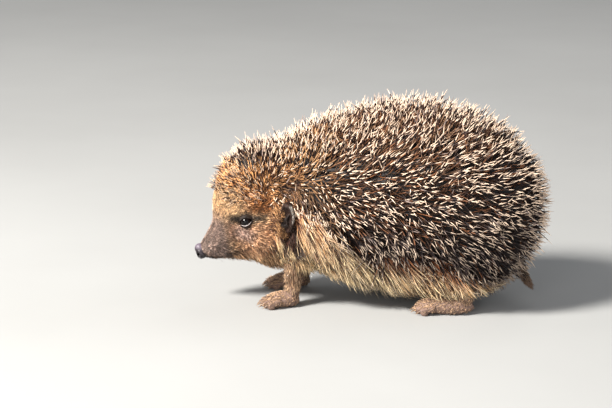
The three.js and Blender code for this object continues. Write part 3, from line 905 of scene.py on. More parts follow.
def waves(p, size, seed):
    """Smooth random vectors, about unit size, that change over `size` mm."""
    r = np.random.default_rng(seed)
    k = r.normal(size=(3, 6, 3)) / size * 1.6
    ph = r.random((3, 6)) * 6.283
    return np.stack([np.sin(p @ k[i].T + ph[i]).sum(1) for i in range(3)], 1) / 1.8


def held(c, top=0.95):
    """Colours scaled down so that none is over top, with the hue kept."""
    return c * np.minimum(1, top / np.maximum(c.max(-1, keepdims=True), 1e-6))


def unit(v):
    return v / np.maximum(np.linalg.norm(v, axis=-1, keepdims=True), 1e-9)


# Lie of the coat in side view: where hair or quill ends lie (x, z), and the angle from the tail direction up.
QUILL_LIE = np.array([
    (-105, 84, 142), (-99, 77, 143), (-91, 72, 145), (-84, 69, 146), (-99, 89, 135), (-94, 86, 125), (-89, 91, 115), (-90, 97, 112), (-98, 97, 118),
    (-100, 99, 125), (-93, 102, 105), (-84, 102, 100), (-78, 97, 92), (-75, 90, 85), (-69, 97, 70), (-62, 95, 55), (-63, 89, 42), (-55, 92, 35),
    (-47, 88, 20), (-56, 84, 10), (-63, 82, 5), (-47, 79, -5), (-66, 76, -30), (-62, 74, -40), (-56, 72, -42), (-47, 70, -42), (-52, 110, 80),
    (-39, 118, 84), (-19, 127, 85), (13, 133, 86), (39, 133, 80), (63, 125, 64), (82, 113, 50), (93, 102, 36), (102, 87, 12), (104, 71, -5),
    (103, 51, -20), (93, 37, -38), (80, 24, -42), (62, 20, -42), (-38, 106, 48), (-17, 118, 58), (-22, 102, 24), (2, 125, 68), (3, 112, 38),
    (-2, 98, 16), (28, 124, 62), (29, 110, 32), (30, 93, 10), (53, 121, 52), (54, 105, 24), (55, 84, 4), (78, 105, 26), (79, 85, 4), (80, 64, -12),
    (91, 78, -4), (-47, 65, -46), (-38, 59, -52), (-25, 51, -58), (-15, 40, -55), (-3, 33, -50), (10, 30, -46), (29, 28, -43), (48, 25, -40),
    (-28, 78, -14), (-14, 79, 0), (-14, 63, -38), (-2, 53, -35), (5, 74, -8), (18, 58, -25), (30, 72, -8), (43, 49, -30), (55, 65, -12),
    (68, 45, -30)], float)
FUR_LIE = np.array([
    (-56, 64, -16), (-51, 60, -21), (-43, 57, -28), (-55, 55, -31), (-49, 47, -39), (-38, 45, -44), (-30, 38, -54), (-19, 31, -56), (-9, 25, -56),
    (3, 24, -54), (16, 21, -52), (29, 20, -50), (42, 19, -48), (50, 21, -46), (-64, 38, -84), (-68, 35, -72), (-60, 35, -82), (-57, 42, -72),
    (-75, 36, -60), (-80, 36, -48), (-54, 29, -70), (-43, 31, -62), (70, 16, -44), (84, 14, -40)], float)


def lie_at(table, p, spread, ahead=0.0):
    """Lie at p; ahead: how far along the strand its end is, for which the table speaks."""
    q, v = p, None
    for _ in range(3 if ahead else 1):
        d2 = (q[:, None, 0] - table[None, :, 0]) ** 2 + (q[:, None, 2] - table[None, :, 1]) ** 2
        w = np.exp(-(d2 - d2.min(1, keepdims=True)) / (2 * spread * spread))
        a = np.radians(table[:, 2])
        c, s = (w * np.cos(a)).sum(1), (w * np.sin(a)).sum(1)
        n = np.maximum(np.hypot(c, s), 1e-6)
        v = np.stack([c / n, np.zeros(len(p)), s / n], 1)
        q = p + ahead * v
    return v


def reach(p, d, level, longest=30.0, step=0.5):
    """Distance from p along d to where the coat's field rises to level."""
    out = np.full(len(p), longest)
    open_ = np.ones(len(p), bool)
    before = coat(*p.T) - level
    for k in range(1, int(longest / step) + 1):
        q = p + d * (k * step)
        now = coat(*q.T) - level
        hit = open_ & (now >= 0)
        out[hit] = (k - 1) * step + step * (before[hit] / np.minimum(before[hit] - now[hit], -1e-6))
        open_ &= ~hit
        before = now
        if not open_.any():
            break
    return out


def strand_objects(name, lines, radii, sides, uv, seed, extra, material, limit=190000):
    """lines (n, k, 3) in body space and radii (n, k): each strand is a tube of k rings that closes on its last point."""
    n, k = radii.shape
    tris = (k - 2) * sides * 2 + sides + (sides - 2)
    per = max(1, limit // tris)
    made = []
    # a frame across each ring
    tangent = np.empty_like(lines)
    tangent[:, 1:-1] = lines[:, 2:] - lines[:, :-2]
    tangent[:, 0] = lines[:, 1] - lines[:, 0]
    tangent[:, -1] = lines[:, -1] - lines[:, -2]
    tangent = unit(tangent)
    ref = unit(rng.normal(size=(n, 1, 3)))
    u = unit(np.cross(tangent, np.broadcast_to(ref, tangent.shape)))
    v = np.cross(tangent, u)
    ang = np.arange(sides) / sides * 2 * math.pi
    ring = lines[:, :-1, None, :] + radii[:, :-1, None, None] * (np.cos(ang)[None, None, :, None] * u[:, :-1, None, :] + np.sin(ang)[None, None, :, None] * v[:, :-1, None, :])
    pts = np.concatenate([ring.reshape(n, -1, 3), lines[:, -1:, :]], 1)  # (n, (k-1)*sides+1, 3)
    m = pts.shape[1]
    # faces of one strand
    quads = []
    for i in range(k - 2):
        for j in range(sides):
            j2 = (j + 1) % sides
            quads.append([i * sides + j, i * sides + j2, (i + 1) * sides + j2, (i + 1) * sides + j])
    tip = [[(k - 2) * sides + j, (k - 2) * sides + (j + 1) % sides, m - 1] for j in range(sides)]
    cap = [list(range(sides))[::-1]]
    loops1 = np.concatenate([np.array(quads, int).ravel(), np.array(tip, int).ravel(), np.array(cap, int).ravel()])
    sizes = np.array([4] * len(quads) + [3] * sides + [sides])
    starts1 = np.concatenate([[0], np.cumsum(sizes)[:-1]])
    t = np.concatenate([np.repeat(np.arange(k - 1) / (k - 1), sides), [1.0]])
    s = np.concatenate([np.tile(np.arange(sides) / sides, k - 1), [0.5]])
    patch = np.stack([(s - 0.5) * 0.003, (t - 0.5) * 0.003], 1)
    for part, a in enumerate(range(0, n, per)):
        b = min(n, a + per)
        c = b - a
        loops = (loops1[None] + (np.arange(c) * m)[:, None]).ravel()
        starts = (starts1[None] + (np.arange(c) * len(loops1))[:, None]).ravel()
        uvs = np.clip(uv[a:b, None, :] + patch[None], 0, 1)
        uvs = uvs[:, loops1, :].reshape(-1, 2)
        attrs = [("seed", "FLOAT", np.repeat(seed[a:b], m))]
        for key, kind, value in extra:
            # per ring values (n, k) or (n, k, 3)
            val = value[a:b]
            body = np.repeat(val[:, :-1], sides, axis=1)
            full = np.concatenate([body, val[:, -1:]], 1)
            attrs.append((key, kind, full.reshape(-1, 3) if kind != "FLOAT" else full.ravel()))
        o = mesh_object(f"{name}_{part + 1}", to_row(pts[a:b].reshape(-1, 3)), loops, starts, material, attrs, uvs)
        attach(o, "root")
        made.append(o)
    print(name, n, "strands", n * tris, "tris")
    return made


def off_ear(lines, gap):
    """True for strands that pass no nearer the ear than gap (mm)."""
    q = lines[:, 1:].reshape(-1, 3)
    near = ((ear_distance(q) < gap) & (np.abs(q[:, 1]) > 22)).reshape(len(lines), -1)
    return ~near.any(1)


def keep_between(lines, low, high):
    """Holds each point of a strand at least `low` over the skin and under the coat's tips + high; low (k,), high a number."""
    n, k = lines.shape[:2]
    for i in range(1, k):
        p = lines[:, i]
        f = skin_at(p)
        g = gradient(skin_at, p, 0.3)
        p = p + np.clip(low[i] - f, 0, 6)[:, None] * g
        over = coat(*p.T) - high
        m = over > 0
        if m.any():
            gc = gradient(lambda q: coat(*q.T), p[m], 0.3)
            p[m] = p[m] - np.clip(over[m], 0, 6)[:, None] * gc
        p[:, 2] = np.maximum(p[:, 2], 0.35)
        lines[:, i] = p
    return lines


# ------------------------------------------------------------------ quills
def on_body(p):
    return base(*p.T) + sink(p[:, 0], p[:, 2]) < 0.6


def quill_density(p):
    q = quill_share(p[:, 0], p[:, 2] + 3.5 * smooth((-54 - p[:, 0]) / 8) + 3.5 * smooth((-78 - p[:, 0]) / 10))
    crown = smooth((-56 - p[:, 0]) / 10)
    return np.where(on_body(p) & (p[:, 2] > 12), smooth((q - 0.30) / 0.3) * (1 + 0.6 * crown), 0)


QUILL_N = 8000
p, n, uv = roots(quill_density, QUILL_N * 4)
crown = smooth((-56 - p[:, 0]) / 10)
parting = smooth(1.3 - np.hypot(p[:, 0] + 78, (p[:, 2] - 86) * 1.0) / 20)
space = 1.86 - 0.26 * crown - 0.22 * parting
keep = thinned(p, space)[:QUILL_N]
p, n, uv = p[keep], n[keep], uv[keep]
count = len(p)
crown = smooth((-54 - p[:, 0]) / 18)
brow = smooth((-76 - p[:, 0]) / 14) * smooth((98 - p[:, 2]) / 14)
parting = smooth(1.3 - np.hypot(p[:, 0] + 74, (p[:, 2] - 82) * 1.2) / 16)
V = lie_at(QUILL_LIE, p, 7.5, ahead=11.0)
lift = 0.46 + 0.14 * crown - 0.06 * brow + 0.15 * parting + rng.normal(0, 0.10, count)
D = unit(V + lift[:, None] * n + 0.30 * waves(p, 7, 5) + 0.46 * rng.normal(size=(count, 3)))
rise = (D * n).sum(1)
D = unit(D + np.clip(0.22 - rise, 0, 1)[:, None] * n)
proud = rng.normal(-1.1, 1.4, count) + 1.7 * waves(p, 5, 17)[:, 0] + np.where(rng.random(count) < 0.16, rng.uniform(1.4, 4.0, count), 0) * (1 - 0.6 * brow)
L = reach(p, D, proud)
L = np.clip(L, mix(14.0, 8.0, crown), mix(25.0, 16.0, crown) + 3 * brow)
full = L + 1.2
pale = np.minimum((rng.uniform(3.4, 6.2, count) - 0.6 * smooth((p[:, 2] - 100) / 25) + 1.0 * _near(p, (-28, 30, 92), (30, 28, 22))[:, 0]) * (1 - 0.14 * smooth((-68 - p[:, 0]) / 14)), full * 0.42)  # mm of pale tip
dark = np.minimum(pale + rng.uniform(3.0, 6.4, count) + 1.2 * crown, full * 0.86)  # end of the dark band
from_tip = np.stack([full, dark + 0.6, dark - 0.6, pale + 0.8, pale * 0.82, pale * 0.36, np.zeros(count)], 1)
prof = np.array([0.65, 1.0, 1.0, 0.95, 0.80, 0.44, 0.0])
side_bend = unit(np.cross(D, rng.normal(size=(count, 3))))
curve = rng.normal(0, 0.030, count)[:, None] * L[:, None] * side_bend - 0.03 * L[:, None] * n
start = p - D * 1.2
ts = 1 - from_tip / full[:, None]
lines = start[:, None] + D[:, None] * (full[:, None] * ts)[:, :, None] + (4 * ts * (1 - ts))[:, :, None] * curve[:, None]
lines[:, :, 2] = np.maximum(lines[:, :, 2], 0.8)
clear = off_ear(lines, 1.0)
lines[~clear] = lines[~clear][:, :1] + (lines[~clear] - lines[~clear][:, :1]) * 0.12
width = rng.uniform(0.31, 0.44, count) * mix(1.0, 0.90, crown) * mix(1.0, 0.88, brow)
radii = width[:, None] * prof[None]
rear_shade = smooth((p[:, 0] - 25) / 60)[:, None]
behind = smooth((p[:, 0] - 82) / 14)[:, None]
low = smooth((84 - p[:, 2]) / 42)[:, None] * (1 - 0.8 * behind)
front = smooth((-20 - p[:, 0]) / 40)[:, None]
up = smooth((p[:, 2] - 84) / 30)[:, None]
# tips darker toward the rear and the low sides, which turn from the light: painted shade
tip_c = np.repeat(srgb(252, 226, 202)[None], count, 0) * 1.12 * mix(1.0, 0.80, rear_shade * (1 - behind)) * mix(1.0, 0.40, low * (1 - front))
tip_c = tip_c * mix(1.0, 1.12, front)
tip_c = mix(tip_c, srgb(246, 204, 154), (brow[:, None] * 0.6))
tip_c = tip_c * rng.uniform(0.70, 1.14, count)[:, None]
# dark tips at random, on the brow and the face, and more on the low sides as painted shade
dark_tip_and_shade = rng.random(count) < 0.09 + 0.20 * (low * (1 - front))[:, 0] + 0.24 * brow + 0.16 * smooth((-92 - p[:, 0]) / 8)
tip_c[dark_tip_and_shade] = tip_c[dark_tip_and_shade] * np.array([0.34, 0.33, 0.38])
band_c = np.repeat(srgb(19, 13, 16)[None], count, 0)
band_c = mix(band_c, srgb(92, 58, 44), (rng.random(count) * (0.17 + 0.42 * np.maximum(front, up)[:, 0]))[:, None])
base_c = np.repeat(srgb(96, 70, 54)[None], count, 0)
base_c = mix(base_c, srgb(178, 142, 114), up * 0.85)
base_c = mix(base_c, srgb(214, 166, 120), front)
# bases darker toward the rear and low down: painted shade
base_c = mix(base_c, srgb(72, 50, 41), rear_shade * (1 - up * 0.6))
base_c = mix(base_c, srgb(24, 17, 15), low * 0.92 * (1 - front))
base_c = mix(base_c, srgb(200, 138, 80), np.maximum(brow, crown * smooth((84 - p[:, 2]) / 10) * 0.4)[:, None])
tawny = (rng.random(count) < 0.30 * (1 - 0.6 * np.maximum(low, behind)[:, 0]))[:, None] * (1 - front)
base_c = mix(base_c, srgb(140, 92, 62), tawny * 0.8)
shoulder = over_ear(p)
base_c = mix(base_c, srgb(40, 27, 24), shoulder * 0.8)
tip_c = tip_c * mix(1.0, 1.28, shoulder) * mix(1.0, 1.30, _near(p, (-28, 30, 97), (30, 28, 20))) * mix(1.0, 1.22, (crown * smooth((p[:, 2] - 80) / 10))[:, None])
sooty = rng.random(count) < 0.40 * brow + 0.10 * crown
base_c[sooty] = base_c[sooty] * np.array([0.26, 0.22, 0.22])
base_c = base_c * rng.uniform(0.6, 1.2, count)[:, None]
tip_c = tip_c[:, None] * np.array([0.62, 0.62, 0.62, 0.70, 0.88, 1.0, 1.0])[None, :, None]  # browner towards the band
# 1 in the pale tip, 0.5 in the band, 0 in the shaft below it
zone = np.tile(np.array([0.0, 0.0, 0.5, 0.5, 1.0, 1.0, 1.0]), (count, 1))
rows = from_tip.shape[1]
keratin = quill_material()
strand_objects("quills", lines, radii, 4, uv, rng.random(count),
               [("zone", "FLOAT", zone), ("tip_c", "FLOAT_COLOR", held(tip_c)), ("band_c", "FLOAT_COLOR", np.repeat(band_c[:, None], rows, 1)),
                ("base_c", "FLOAT_COLOR", np.repeat(base_c[:, None], rows, 1))], keratin)


# ------------------------------------------------------------------ hair
FRINGE = np.array([[-76, 33], [-60, 24], [-50, 21.5], [-35, 20], [-15, 13], [12, 8], [44, 6.5], [70, 8], [100, 12]], float)


def near_ear(p):
    return (ear_distance(p) < 0.7) & (np.abs(p[:, 1]) > 23)


def fur_density(p):
    q = quill_share(p[:, 0], p[:, 2])
    trunk = 1 - smooth((-58 - p[:, 0] + (p[:, 2] - 50) * 0.25) / 8)
    side = smooth((np.abs(p[:, 1]) - 10) / 12)
    off = (p[:, 2] < 12.5) | near_ear(p) | ~on_body(p)
    return np.where(off, 0, (1 - smooth((q - 0.5) / 0.35)) * trunk * (0.25 + 0.75 * side))


def pick_tones(count, tones):
    share = np.array([t[0] for t in tones], float)
    which = rng.choice(len(tones), size=count, p=share / share.sum())
    return np.array([t[1] for t in tones], float)[which]


PLAIN = ((1.0, (1, 1, 1)),)


def groom(name, density, count, length, lie, lift, droop, rings, radius, colours, material, clump=0.0, clumps=400, jitter=0.12, low=0.3, high=0.6,
          fringe=False, sides=3, wave=0.08, waves_size=9, hold=True, curl=0.0, tones=PLAIN, flat=0.85, spread=0.0, clear_ear=True, clump_tone=0.0, share_tone=0.5, dark_root=0.0):
    p, n, uv = roots(density, count)
    V = lie(p, n)
    V = V - (V * n).sum(1)[:, None] * n * flat
    D = unit(unit(V) + lift(p)[:, None] * n + wave * waves(p, waves_size, 11) + jitter * rng.normal(size=(count, 3)))
    L = length(p) * rng.uniform(0.72, 1.18, count)
    ts = np.linspace(0, 1, rings)
    end = unit(D + droop * np.array([0.12, 0, -1.0]) - 0.25 * lift(p)[:, None] * n)
    lines = p[:, None] + L[:, None, None] * (D[:, None] * (ts - 0.5 * ts ** 2)[None, :, None] + end[:, None] * (0.5 * ts ** 2)[None, :, None])
    if curl:
        a, b = unit(np.cross(D, rng.normal(size=(count, 3)))), rng.random(count) * 6.283
        lines = lines + (curl * rng.uniform(0.3, 1, count))[:, None, None] * a[:, None] * (np.sin(ts[None] * 5.0 + b[:, None]) - np.sin(b)[:, None])[:, :, None]
    if fringe:
        tip = lines[:, -1]
        floor = np.interp(tip[:, 0], FRINGE[:, 0], FRINGE[:, 1]) + rng.normal(0, 1.5, count) + 3.2 * waves(p, 4, 23)[:, 0]
        share = np.clip((p[:, 2] - floor) / np.maximum(p[:, 2] - tip[:, 2], 0.1), 0.3, 1)
        lines = p[:, None] + (lines - p[:, None]) * share[:, None, None]
        L = L * share
    if spread:
        # single hairs lie at different depths in the coat
        lines = lines + (rng.uniform(-0.3, spread, count)[:, None] * smooth(ts * 2.5)[None])[:, :, None] * n[:, None]
    tone = pick_tones(count, tones)
    if clump > 0:
        centres = rng.choice(count, min(clumps, count), replace=False)
        who = np.empty(count, int)
        for a in range(0, count, 2000):
            who[a:a + 2000] = np.argmin(((p[a:a + 2000, None] - p[None, centres]) ** 2).sum(2), 1)
        target = lines[centres[who]]
        gap = np.linalg.norm(p - p[centres[who]], axis=1)
        w = clump * smooth(1.6 - gap / 5.0)
        lines = lines + (target - lines) * (w[:, None] * (ts ** 1.3)[None])[:, :, None] * np.clip(L / np.maximum(L[centres[who]], 1), 0.5, 1)[:, None, None]
        tone = np.where((rng.random(count) < share_tone)[:, None], pick_tones(len(centres), tones)[who], tone)
        tone = tone * np.exp(clump_tone * rng.normal(size=len(centres)))[who][:, None]
    if hold:
        lines = keep_between(lines, low * np.sin(ts * math.pi * 0.5), high)
    prof = np.array([1.0 if t < 0.3 else 1 - 0.72 * ((t - 0.3) / 0.7) for t in ts])
    prof[-1] = 0
    r = radius(p) * rng.uniform(0.8, 1.15, count)
    radii = r[:, None] * prof[None]
    root_c, tip_c = colours(p)
    root_c, tip_c = held(root_c * tone ** 0.6), held(tip_c * tone)
    blend = smooth((ts - dark_root) * 1.25 / (1 - dark_root))[None, :, None]
    c = root_c[:, None] * (1 - blend) + tip_c[:, None] * blend
    lines[:, 0] = lines[:, 0] - n * 0.25
    lines[:, :, 2] = np.maximum(lines[:, :, 2], 0.3)
    if clear_ear:
        ok = off_ear(lines, 0.5)
        lines, radii, uv, c, count = lines[ok], radii[ok], uv[ok], c[ok], int(ok.sum())
    return strand_objects(name, lines, radii, sides, uv, rng.random(count), [("tint", "FLOAT_COLOR", c)], material)


few = 1.0
long_hair = hair_material("long_hair", 0.55, 0.4)
short_hair = hair_material("short_hair", 0.7, 0.4)
STREAKS = ((0.36, (0.08, 0.055, 0.045)), (0.16, (0.58, 0.46, 0.36)), (0.48, (1.50, 1.48, 1.40)))

groom("flank_hair", lambda p: fur_density(p) * smooth((np.abs(p[:, 1]) - 8) / 10), int(9000 * few),
      length=lambda p: 31 - 8 * smooth((-44 - p[:, 0]) / 14), lie=lambda p, n: lie_at(FUR_LIE, p, 6.0, ahead=8.0), lift=lambda p: np.full(len(p), 0.26), droop=0.22,
      rings=6, radius=lambda p: np.full(len(p), 0.27), colours=lambda p: (fur_root_colour(p), fur_tip_colour(p) * 1.10), material=long_hair,
      clump=0.74, clumps=1500, jitter=0.15, low=1.6, high=1.8, fringe=True, curl=0.9, tones=((0.30, (0.08, 0.055, 0.045)), (0.18, (0.58, 0.46, 0.36)), (0.52, (1.45, 1.46, 1.56))), flat=0.7, spread=1.2, clump_tone=0.30, share_tone=0.7, dark_root=0.15)


def guard_density(p):
    shoulder = _near(p, (-58, 20, 44), (18, 16, 16))[:, 0] * ~near_ear(p) * (p[:, 2] > 30)
    return np.maximum(fur_density(p) * smooth((np.abs(p[:, 1]) - 12) / 8), shoulder * (base(*p.T) < 1.0))


# single coarse hairs, straw and dark, that lie over the softer fur
groom("guard_hair", guard_density, int(2600 * few), length=lambda p: 27 - 8 * smooth((-44 - p[:, 0]) / 14), lie=lambda p, n: lie_at(FUR_LIE, p, 6.0, ahead=8.0),
      lift=lambda p: np.full(len(p), 0.36), droop=0.24, rings=6, radius=lambda p: np.full(len(p), 0.33), colours=lambda p: (mix(fur_root_colour(p), C_SOOT, hair_below_ear(p) * 0.9), mix(fur_tip_colour(p) * 1.5, C_SOOT, hair_below_ear(p) * 0.92)),
      material=long_hair, jitter=0.19, low=2.6, high=4.2, fringe=True, curl=0.8, tones=((0.36, (0.06, 0.045, 0.04)), (0.64, (1.15, 1.15, 1.12))), flat=0.65,
      spread=2.2, dark_root=0.2)

groom("belly_hair", lambda p: fur_density(p) * (1 - smooth((np.abs(p[:, 1]) - 20) / 10)) * (p[:, 2] < 40), int(3500 * few),
      length=lambda p: np.full(len(p), 12.0), lie=lambda p, n: np.tile(np.array([0.9, 0, -0.35]), (len(p), 1)), lift=lambda p: np.full(len(p), 0.35), droop=0.3,
      rings=3, radius=lambda p: np.full(len(p), 0.26), colours=lambda p: (fur_root_colour(p), fur_tip_colour(p)), material=long_hair,
      clump=0.4, clumps=400, jitter=0.15, low=1.0, high=0.6, tones=STREAKS)


# ------------------------------------------------------------------ face, ears, legs
def clear_of_face_parts(p):
    m = mirrored(p)
    eye = np.linalg.norm(m - EYE, axis=1) < EYE_RADIUS + 1.0
    nose = np.linalg.norm((m - np.array(NOSE_AT)) / (np.array(NOSE_RADII) + 0.1), axis=1) < 1
    return ~(eye | nose | near_ear(p)) & on_body_or_head(p)


def on_body_or_head(p):
    return base(*p.T) < np.where(p[:, 0] < -99, 4.0, 1.4)


def face_density(p):
    q = quill_share(p[:, 0], p[:, 2])
    return np.where(clear_of_face_parts(p) & (p[:, 2] > 19), face_share(p) * (1 - smooth((q - 0.85) / 0.15)) * (1 + 0.9 * smooth((-92 - p[:, 0]) / 10)), 0)


def face_length(p):
    x, z = p[:, 0], p[:, 2]
    L = 1.1 + 0.9 * smooth((x + 116) / 8) + 1.9 * smooth((x + 108) / 24)
    L = L + 1.0 * smooth((z - 60) / 9) * smooth((x + 112) / 12)
    L = L + 2.6 * _near(p, (-76, 20, 44), (14, 14, 12))[:, 0]
    L = L + 3.5 * smooth((x + 72) / 10) * smooth((56 - z) / 10)
    L = L + 3.6 * smooth((36 - z) / 6) * smooth((x + 110) / 14)
    near_eye = smooth(1.55 - np.linalg.norm(mirrored(p) - EYE, axis=1) / 6.0)
    return mix(L, 1.2, near_eye)


def face_lie(p, n):
    away = unit(p - np.array([-121.0, 0, 37.0]))
    x, z = p[:, 0:1], p[:, 2:3]
    down = np.array([0.35, 0, -0.75]) * smooth((x + 100) / 18) * smooth((50 - z) / 12) + np.array([0.1, 0, -0.9]) * smooth((36 - z) / 6) * smooth((x + 112) / 10)
    up = np.array([0.15, 0, 0.6]) * smooth((z - 60) / 10)
    return away + down + up


def face_colours(p):
    c = face_colour(p)
    c = c * np.exp(0.30 * waves(p, 1.3, 31)[:, 0] + 0.12 * waves(p, 3.2, 37)[:, 0])[:, None]
    return c * 0.62, held(c * 1.05)


SPECKS = ((0.36, (0.30, 0.25, 0.22)), (0.28, (0.92, 0.89, 0.86)), (0.36, (1.64, 1.62, 1.56)))
groom("face_hair", face_density, int(26000 * few), length=face_length, lie=face_lie, lift=lambda p: np.full(len(p), 0.36), droop=0.0, rings=4,
      radius=lambda p: 0.13 + 0.08 * smooth((p[:, 0] + 108) / 24), colours=face_colours, material=short_hair,
      jitter=0.24, low=0.35, high=2.6, wave=0.12, waves_size=6, tones=SPECKS)

# shaggy hair among the foremost quills, over the temple
def brow_line(p):
    return np.interp(p[:, 0], [-104, -96, -86, -76, -66], [77, 75, 70, 65, 63])


def brow_colours(p):
    c = mix(C_TEMPLE * 1.1, C_BROW, smooth((p[:, 2:3] - 64) / 10))
    c = c * mix(1.0, np.array([0.25, 0.24, 0.28]), over_ear(p))
    return c * 0.5, c * 1.1


groom("brow_hair", lambda p: np.where(clear_of_face_parts(p), face_share(p) * smooth((p[:, 2] - brow_line(p) + 3) / 9) * smooth((90 - p[:, 2]) / 8), 0), int(4200 * few),
      length=lambda p: 4.2 + 4.2 * smooth((p[:, 2] - brow_line(p)) / 9), lie=lambda p, n: lie_at(QUILL_LIE, p, 6.5, ahead=6.0), lift=lambda p: np.full(len(p), 0.44),
      droop=0.0, rings=4, radius=lambda p: np.full(len(p), 0.31), colours=brow_colours,
      material=short_hair, jitter=0.30, low=0.5, high=1.2, wave=0.18, waves_size=6, clump=0.25, clumps=600,
      tones=((0.48, (0.08, 0.055, 0.06)), (0.10, (0.75, 0.64, 0.58)), (0.42, (1.70, 1.78, 1.95))))


def ear_edge(p):
    """1 at the free edge of the ear."""
    u, v, w = ear_local(*p.T)
    top = 1.7 + 1.05 * np.minimum(0, u + 1.4) - 0.05 * np.maximum(0, -w - 2.5) ** 2
    return smooth(1.2 - np.abs(v - top + 0.4) / 1.5) * near_ear(p) * (1 - in_ear(p)) * smooth((w + 2) / 4) * smooth((u + 2.0 - 0.25 * w) / 2.5)


def ear_density(p):
    u, v, w = ear_local(*p.T)
    return np.where(near_ear(p) & (np.abs(p[:, 1]) > 23), 0.5 + 3.0 * ear_edge(p) - 0.42 * in_ear(p), 0)


def ear_lie(p, n):
    m = mirrored(p) - np.array(EAR_AT)
    out = unit(m * np.array([1.0, 0.3, 1.0]))
    out[:, 1] *= np.sign(p[:, 1])
    return out + np.array([0.15, 0, 0.1])


groom("ear_hair", ear_density, int(3400 * few), length=lambda p: 0.9 + 2.4 * in_ear(p), lie=ear_lie, lift=lambda p: np.full(len(p), 0.24), droop=0.0, rings=3,
      radius=lambda p: np.full(len(p), 0.12), colours=lambda p: (mix(C_EAR_SKIN, C_EAR_RIM * 0.7, ear_edge(p)[:, None]), mix(C_DARK * 2.2, C_EAR_RIM, ear_edge(p)[:, None])), material=short_hair,
      jitter=0.2, hold=False, clear_ear=False, tones=((0.3, (0.6, 0.6, 0.6)), (0.7, (1, 1, 1))))

# locks that stand out over the front edge of the ear, and dark hair round its foot
groom("ear_tuft", lambda p: np.where(near_ear(p) | ~on_body_or_head(p), 0, np.maximum(_near(p, (-72.5, 24, 61), (4.5, 8, 7)), 0.9 * _near(p, (-71.5, 24, 52), (4.5, 8, 9)))[:, 0]), int(2300 * few),
      length=lambda p: np.full(len(p), 8.5), lie=lambda p, n: np.tile(np.array([0.95, 0, -0.16]), (len(p), 1)), lift=lambda p: np.full(len(p), 0.85), droop=0.2, rings=6,
      radius=lambda p: np.full(len(p), 0.22), colours=lambda p: (np.tile(C_TEMPLE * 0.5, (len(p), 1)), np.tile(srgb(196, 152, 106), (len(p), 1))), material=short_hair,
      jitter=0.32, hold=False, curl=1.2, tones=((0.62, (0.20, 0.13, 0.10)), (0.38, (1, 0.95, 0.9))), clump=0.5, clumps=130, clear_ear=False)
groom("ear_foot", lambda p: np.where(near_ear(p), 0, _near(p, (-63.0, 25, 47), (9, 14, 9))[:, 0]), int(2300 * few), length=lambda p: np.full(len(p), 9.5),
      lie=lambda p, n: np.tile(np.array([0.45, 0, -0.80]), (len(p), 1)), lift=lambda p: np.full(len(p), 0.95), droop=0.3, rings=5, radius=lambda p: np.full(len(p), 0.24),
      colours=lambda p: (np.tile(C_SOOT * 0.6, (len(p), 1)), np.tile(C_SOOT * 1.2, (len(p), 1))), material=short_hair, jitter=0.3, hold=False, curl=0.8, clump=0.5, clumps=120,
      tones=((0.93, (1, 1, 1)), (0.07, (3.5, 3.2, 3.0))))

# long hair of the throat and shoulder, over the tops of the forelegs
groom("throat_hair", lambda p: np.where(near_ear(p) | (p[:, 2] < 27), 0, np.maximum(_near(p, (-62, 20, 41), (14, 16, 14)), _near(p, (-50, 14, 36), (16, 16, 12)))[:, 0]), int(4300 * few),
      length=lambda p: 11 + 11 * smooth((p[:, 0] + 78) / 14), lie=lambda p, n: lie_at(FUR_LIE, p, 6.0), lift=lambda p: np.full(len(p), 0.45), droop=0.34, rings=5,
      radius=lambda p: np.full(len(p), 0.27), colours=lambda p: (fur_root_colour(p), mix(np.tile(C_STRAW_TIP * np.array([0.96, 0.97, 0.95]), (len(p), 1)), C_SOOT, hair_below_ear(p) * 0.92)), material=long_hair, clump=0.55, clumps=500,
      jitter=0.20, low=1.6, high=5.0, fringe=True, curl=0.8, tones=STREAKS, flat=0.5, spread=2.0, clump_tone=0.34, share_tone=0.75, dark_root=0.15)


def leg_density(p):
    off = base(*p.T) > 0.9
    return np.where(off & (p[:, 2] > 2.0) & (p[:, 2] < 46) & (np.abs(p[:, 1]) > 5) & (p[:, 0] > -95) & (p[:, 0] < 78) & ~near_ear(p), 0.30 + 0.70 * smooth((p[:, 2] - 2.5) / 5), 0)


groom("leg_hair", leg_density, int(13000 * few), length=lambda p: 2.3 + 3.4 * smooth((p[:, 2] - 8) / 12),
      lie=lambda p, n: mix(np.array([-0.9, 0, -0.35]), np.array([0.05, 0, -1.0]), smooth((p[:, 2:3] - 7) / 6)), lift=lambda p: np.full(len(p), 0.30), droop=0.1, rings=3,
      radius=lambda p: 0.16 + 0.05 * smooth((p[:, 2] - 6) / 12), colours=lambda p: (np.tile(C_LEG * 0.6, (len(p), 1)), np.tile(C_LEG * 1.35, (len(p), 1))), material=short_hair,
      jitter=0.22, hold=False, tones=SPECKS)

groom("tail_hair", lambda p: np.where((p[:, 0] > 88) & (np.abs(p[:, 1]) < 7) & (p[:, 2] < 26) & (base(*p.T) > 0.3), 1.0, 0), int(600 * few),
      length=lambda p: np.full(len(p), 3.5), lie=lambda p, n: np.tile(np.array([0.6, 0, -1.0]), (len(p), 1)), lift=lambda p: np.full(len(p), 0.25), droop=0.1,
      rings=4, radius=lambda p: np.full(len(p), 0.13), colours=lambda p: (np.tile(C_BELLY * 0.6, (len(p), 1)), np.tile(C_BELLY, (len(p), 1))),
      material=short_hair, jitter=0.2, hold=False)

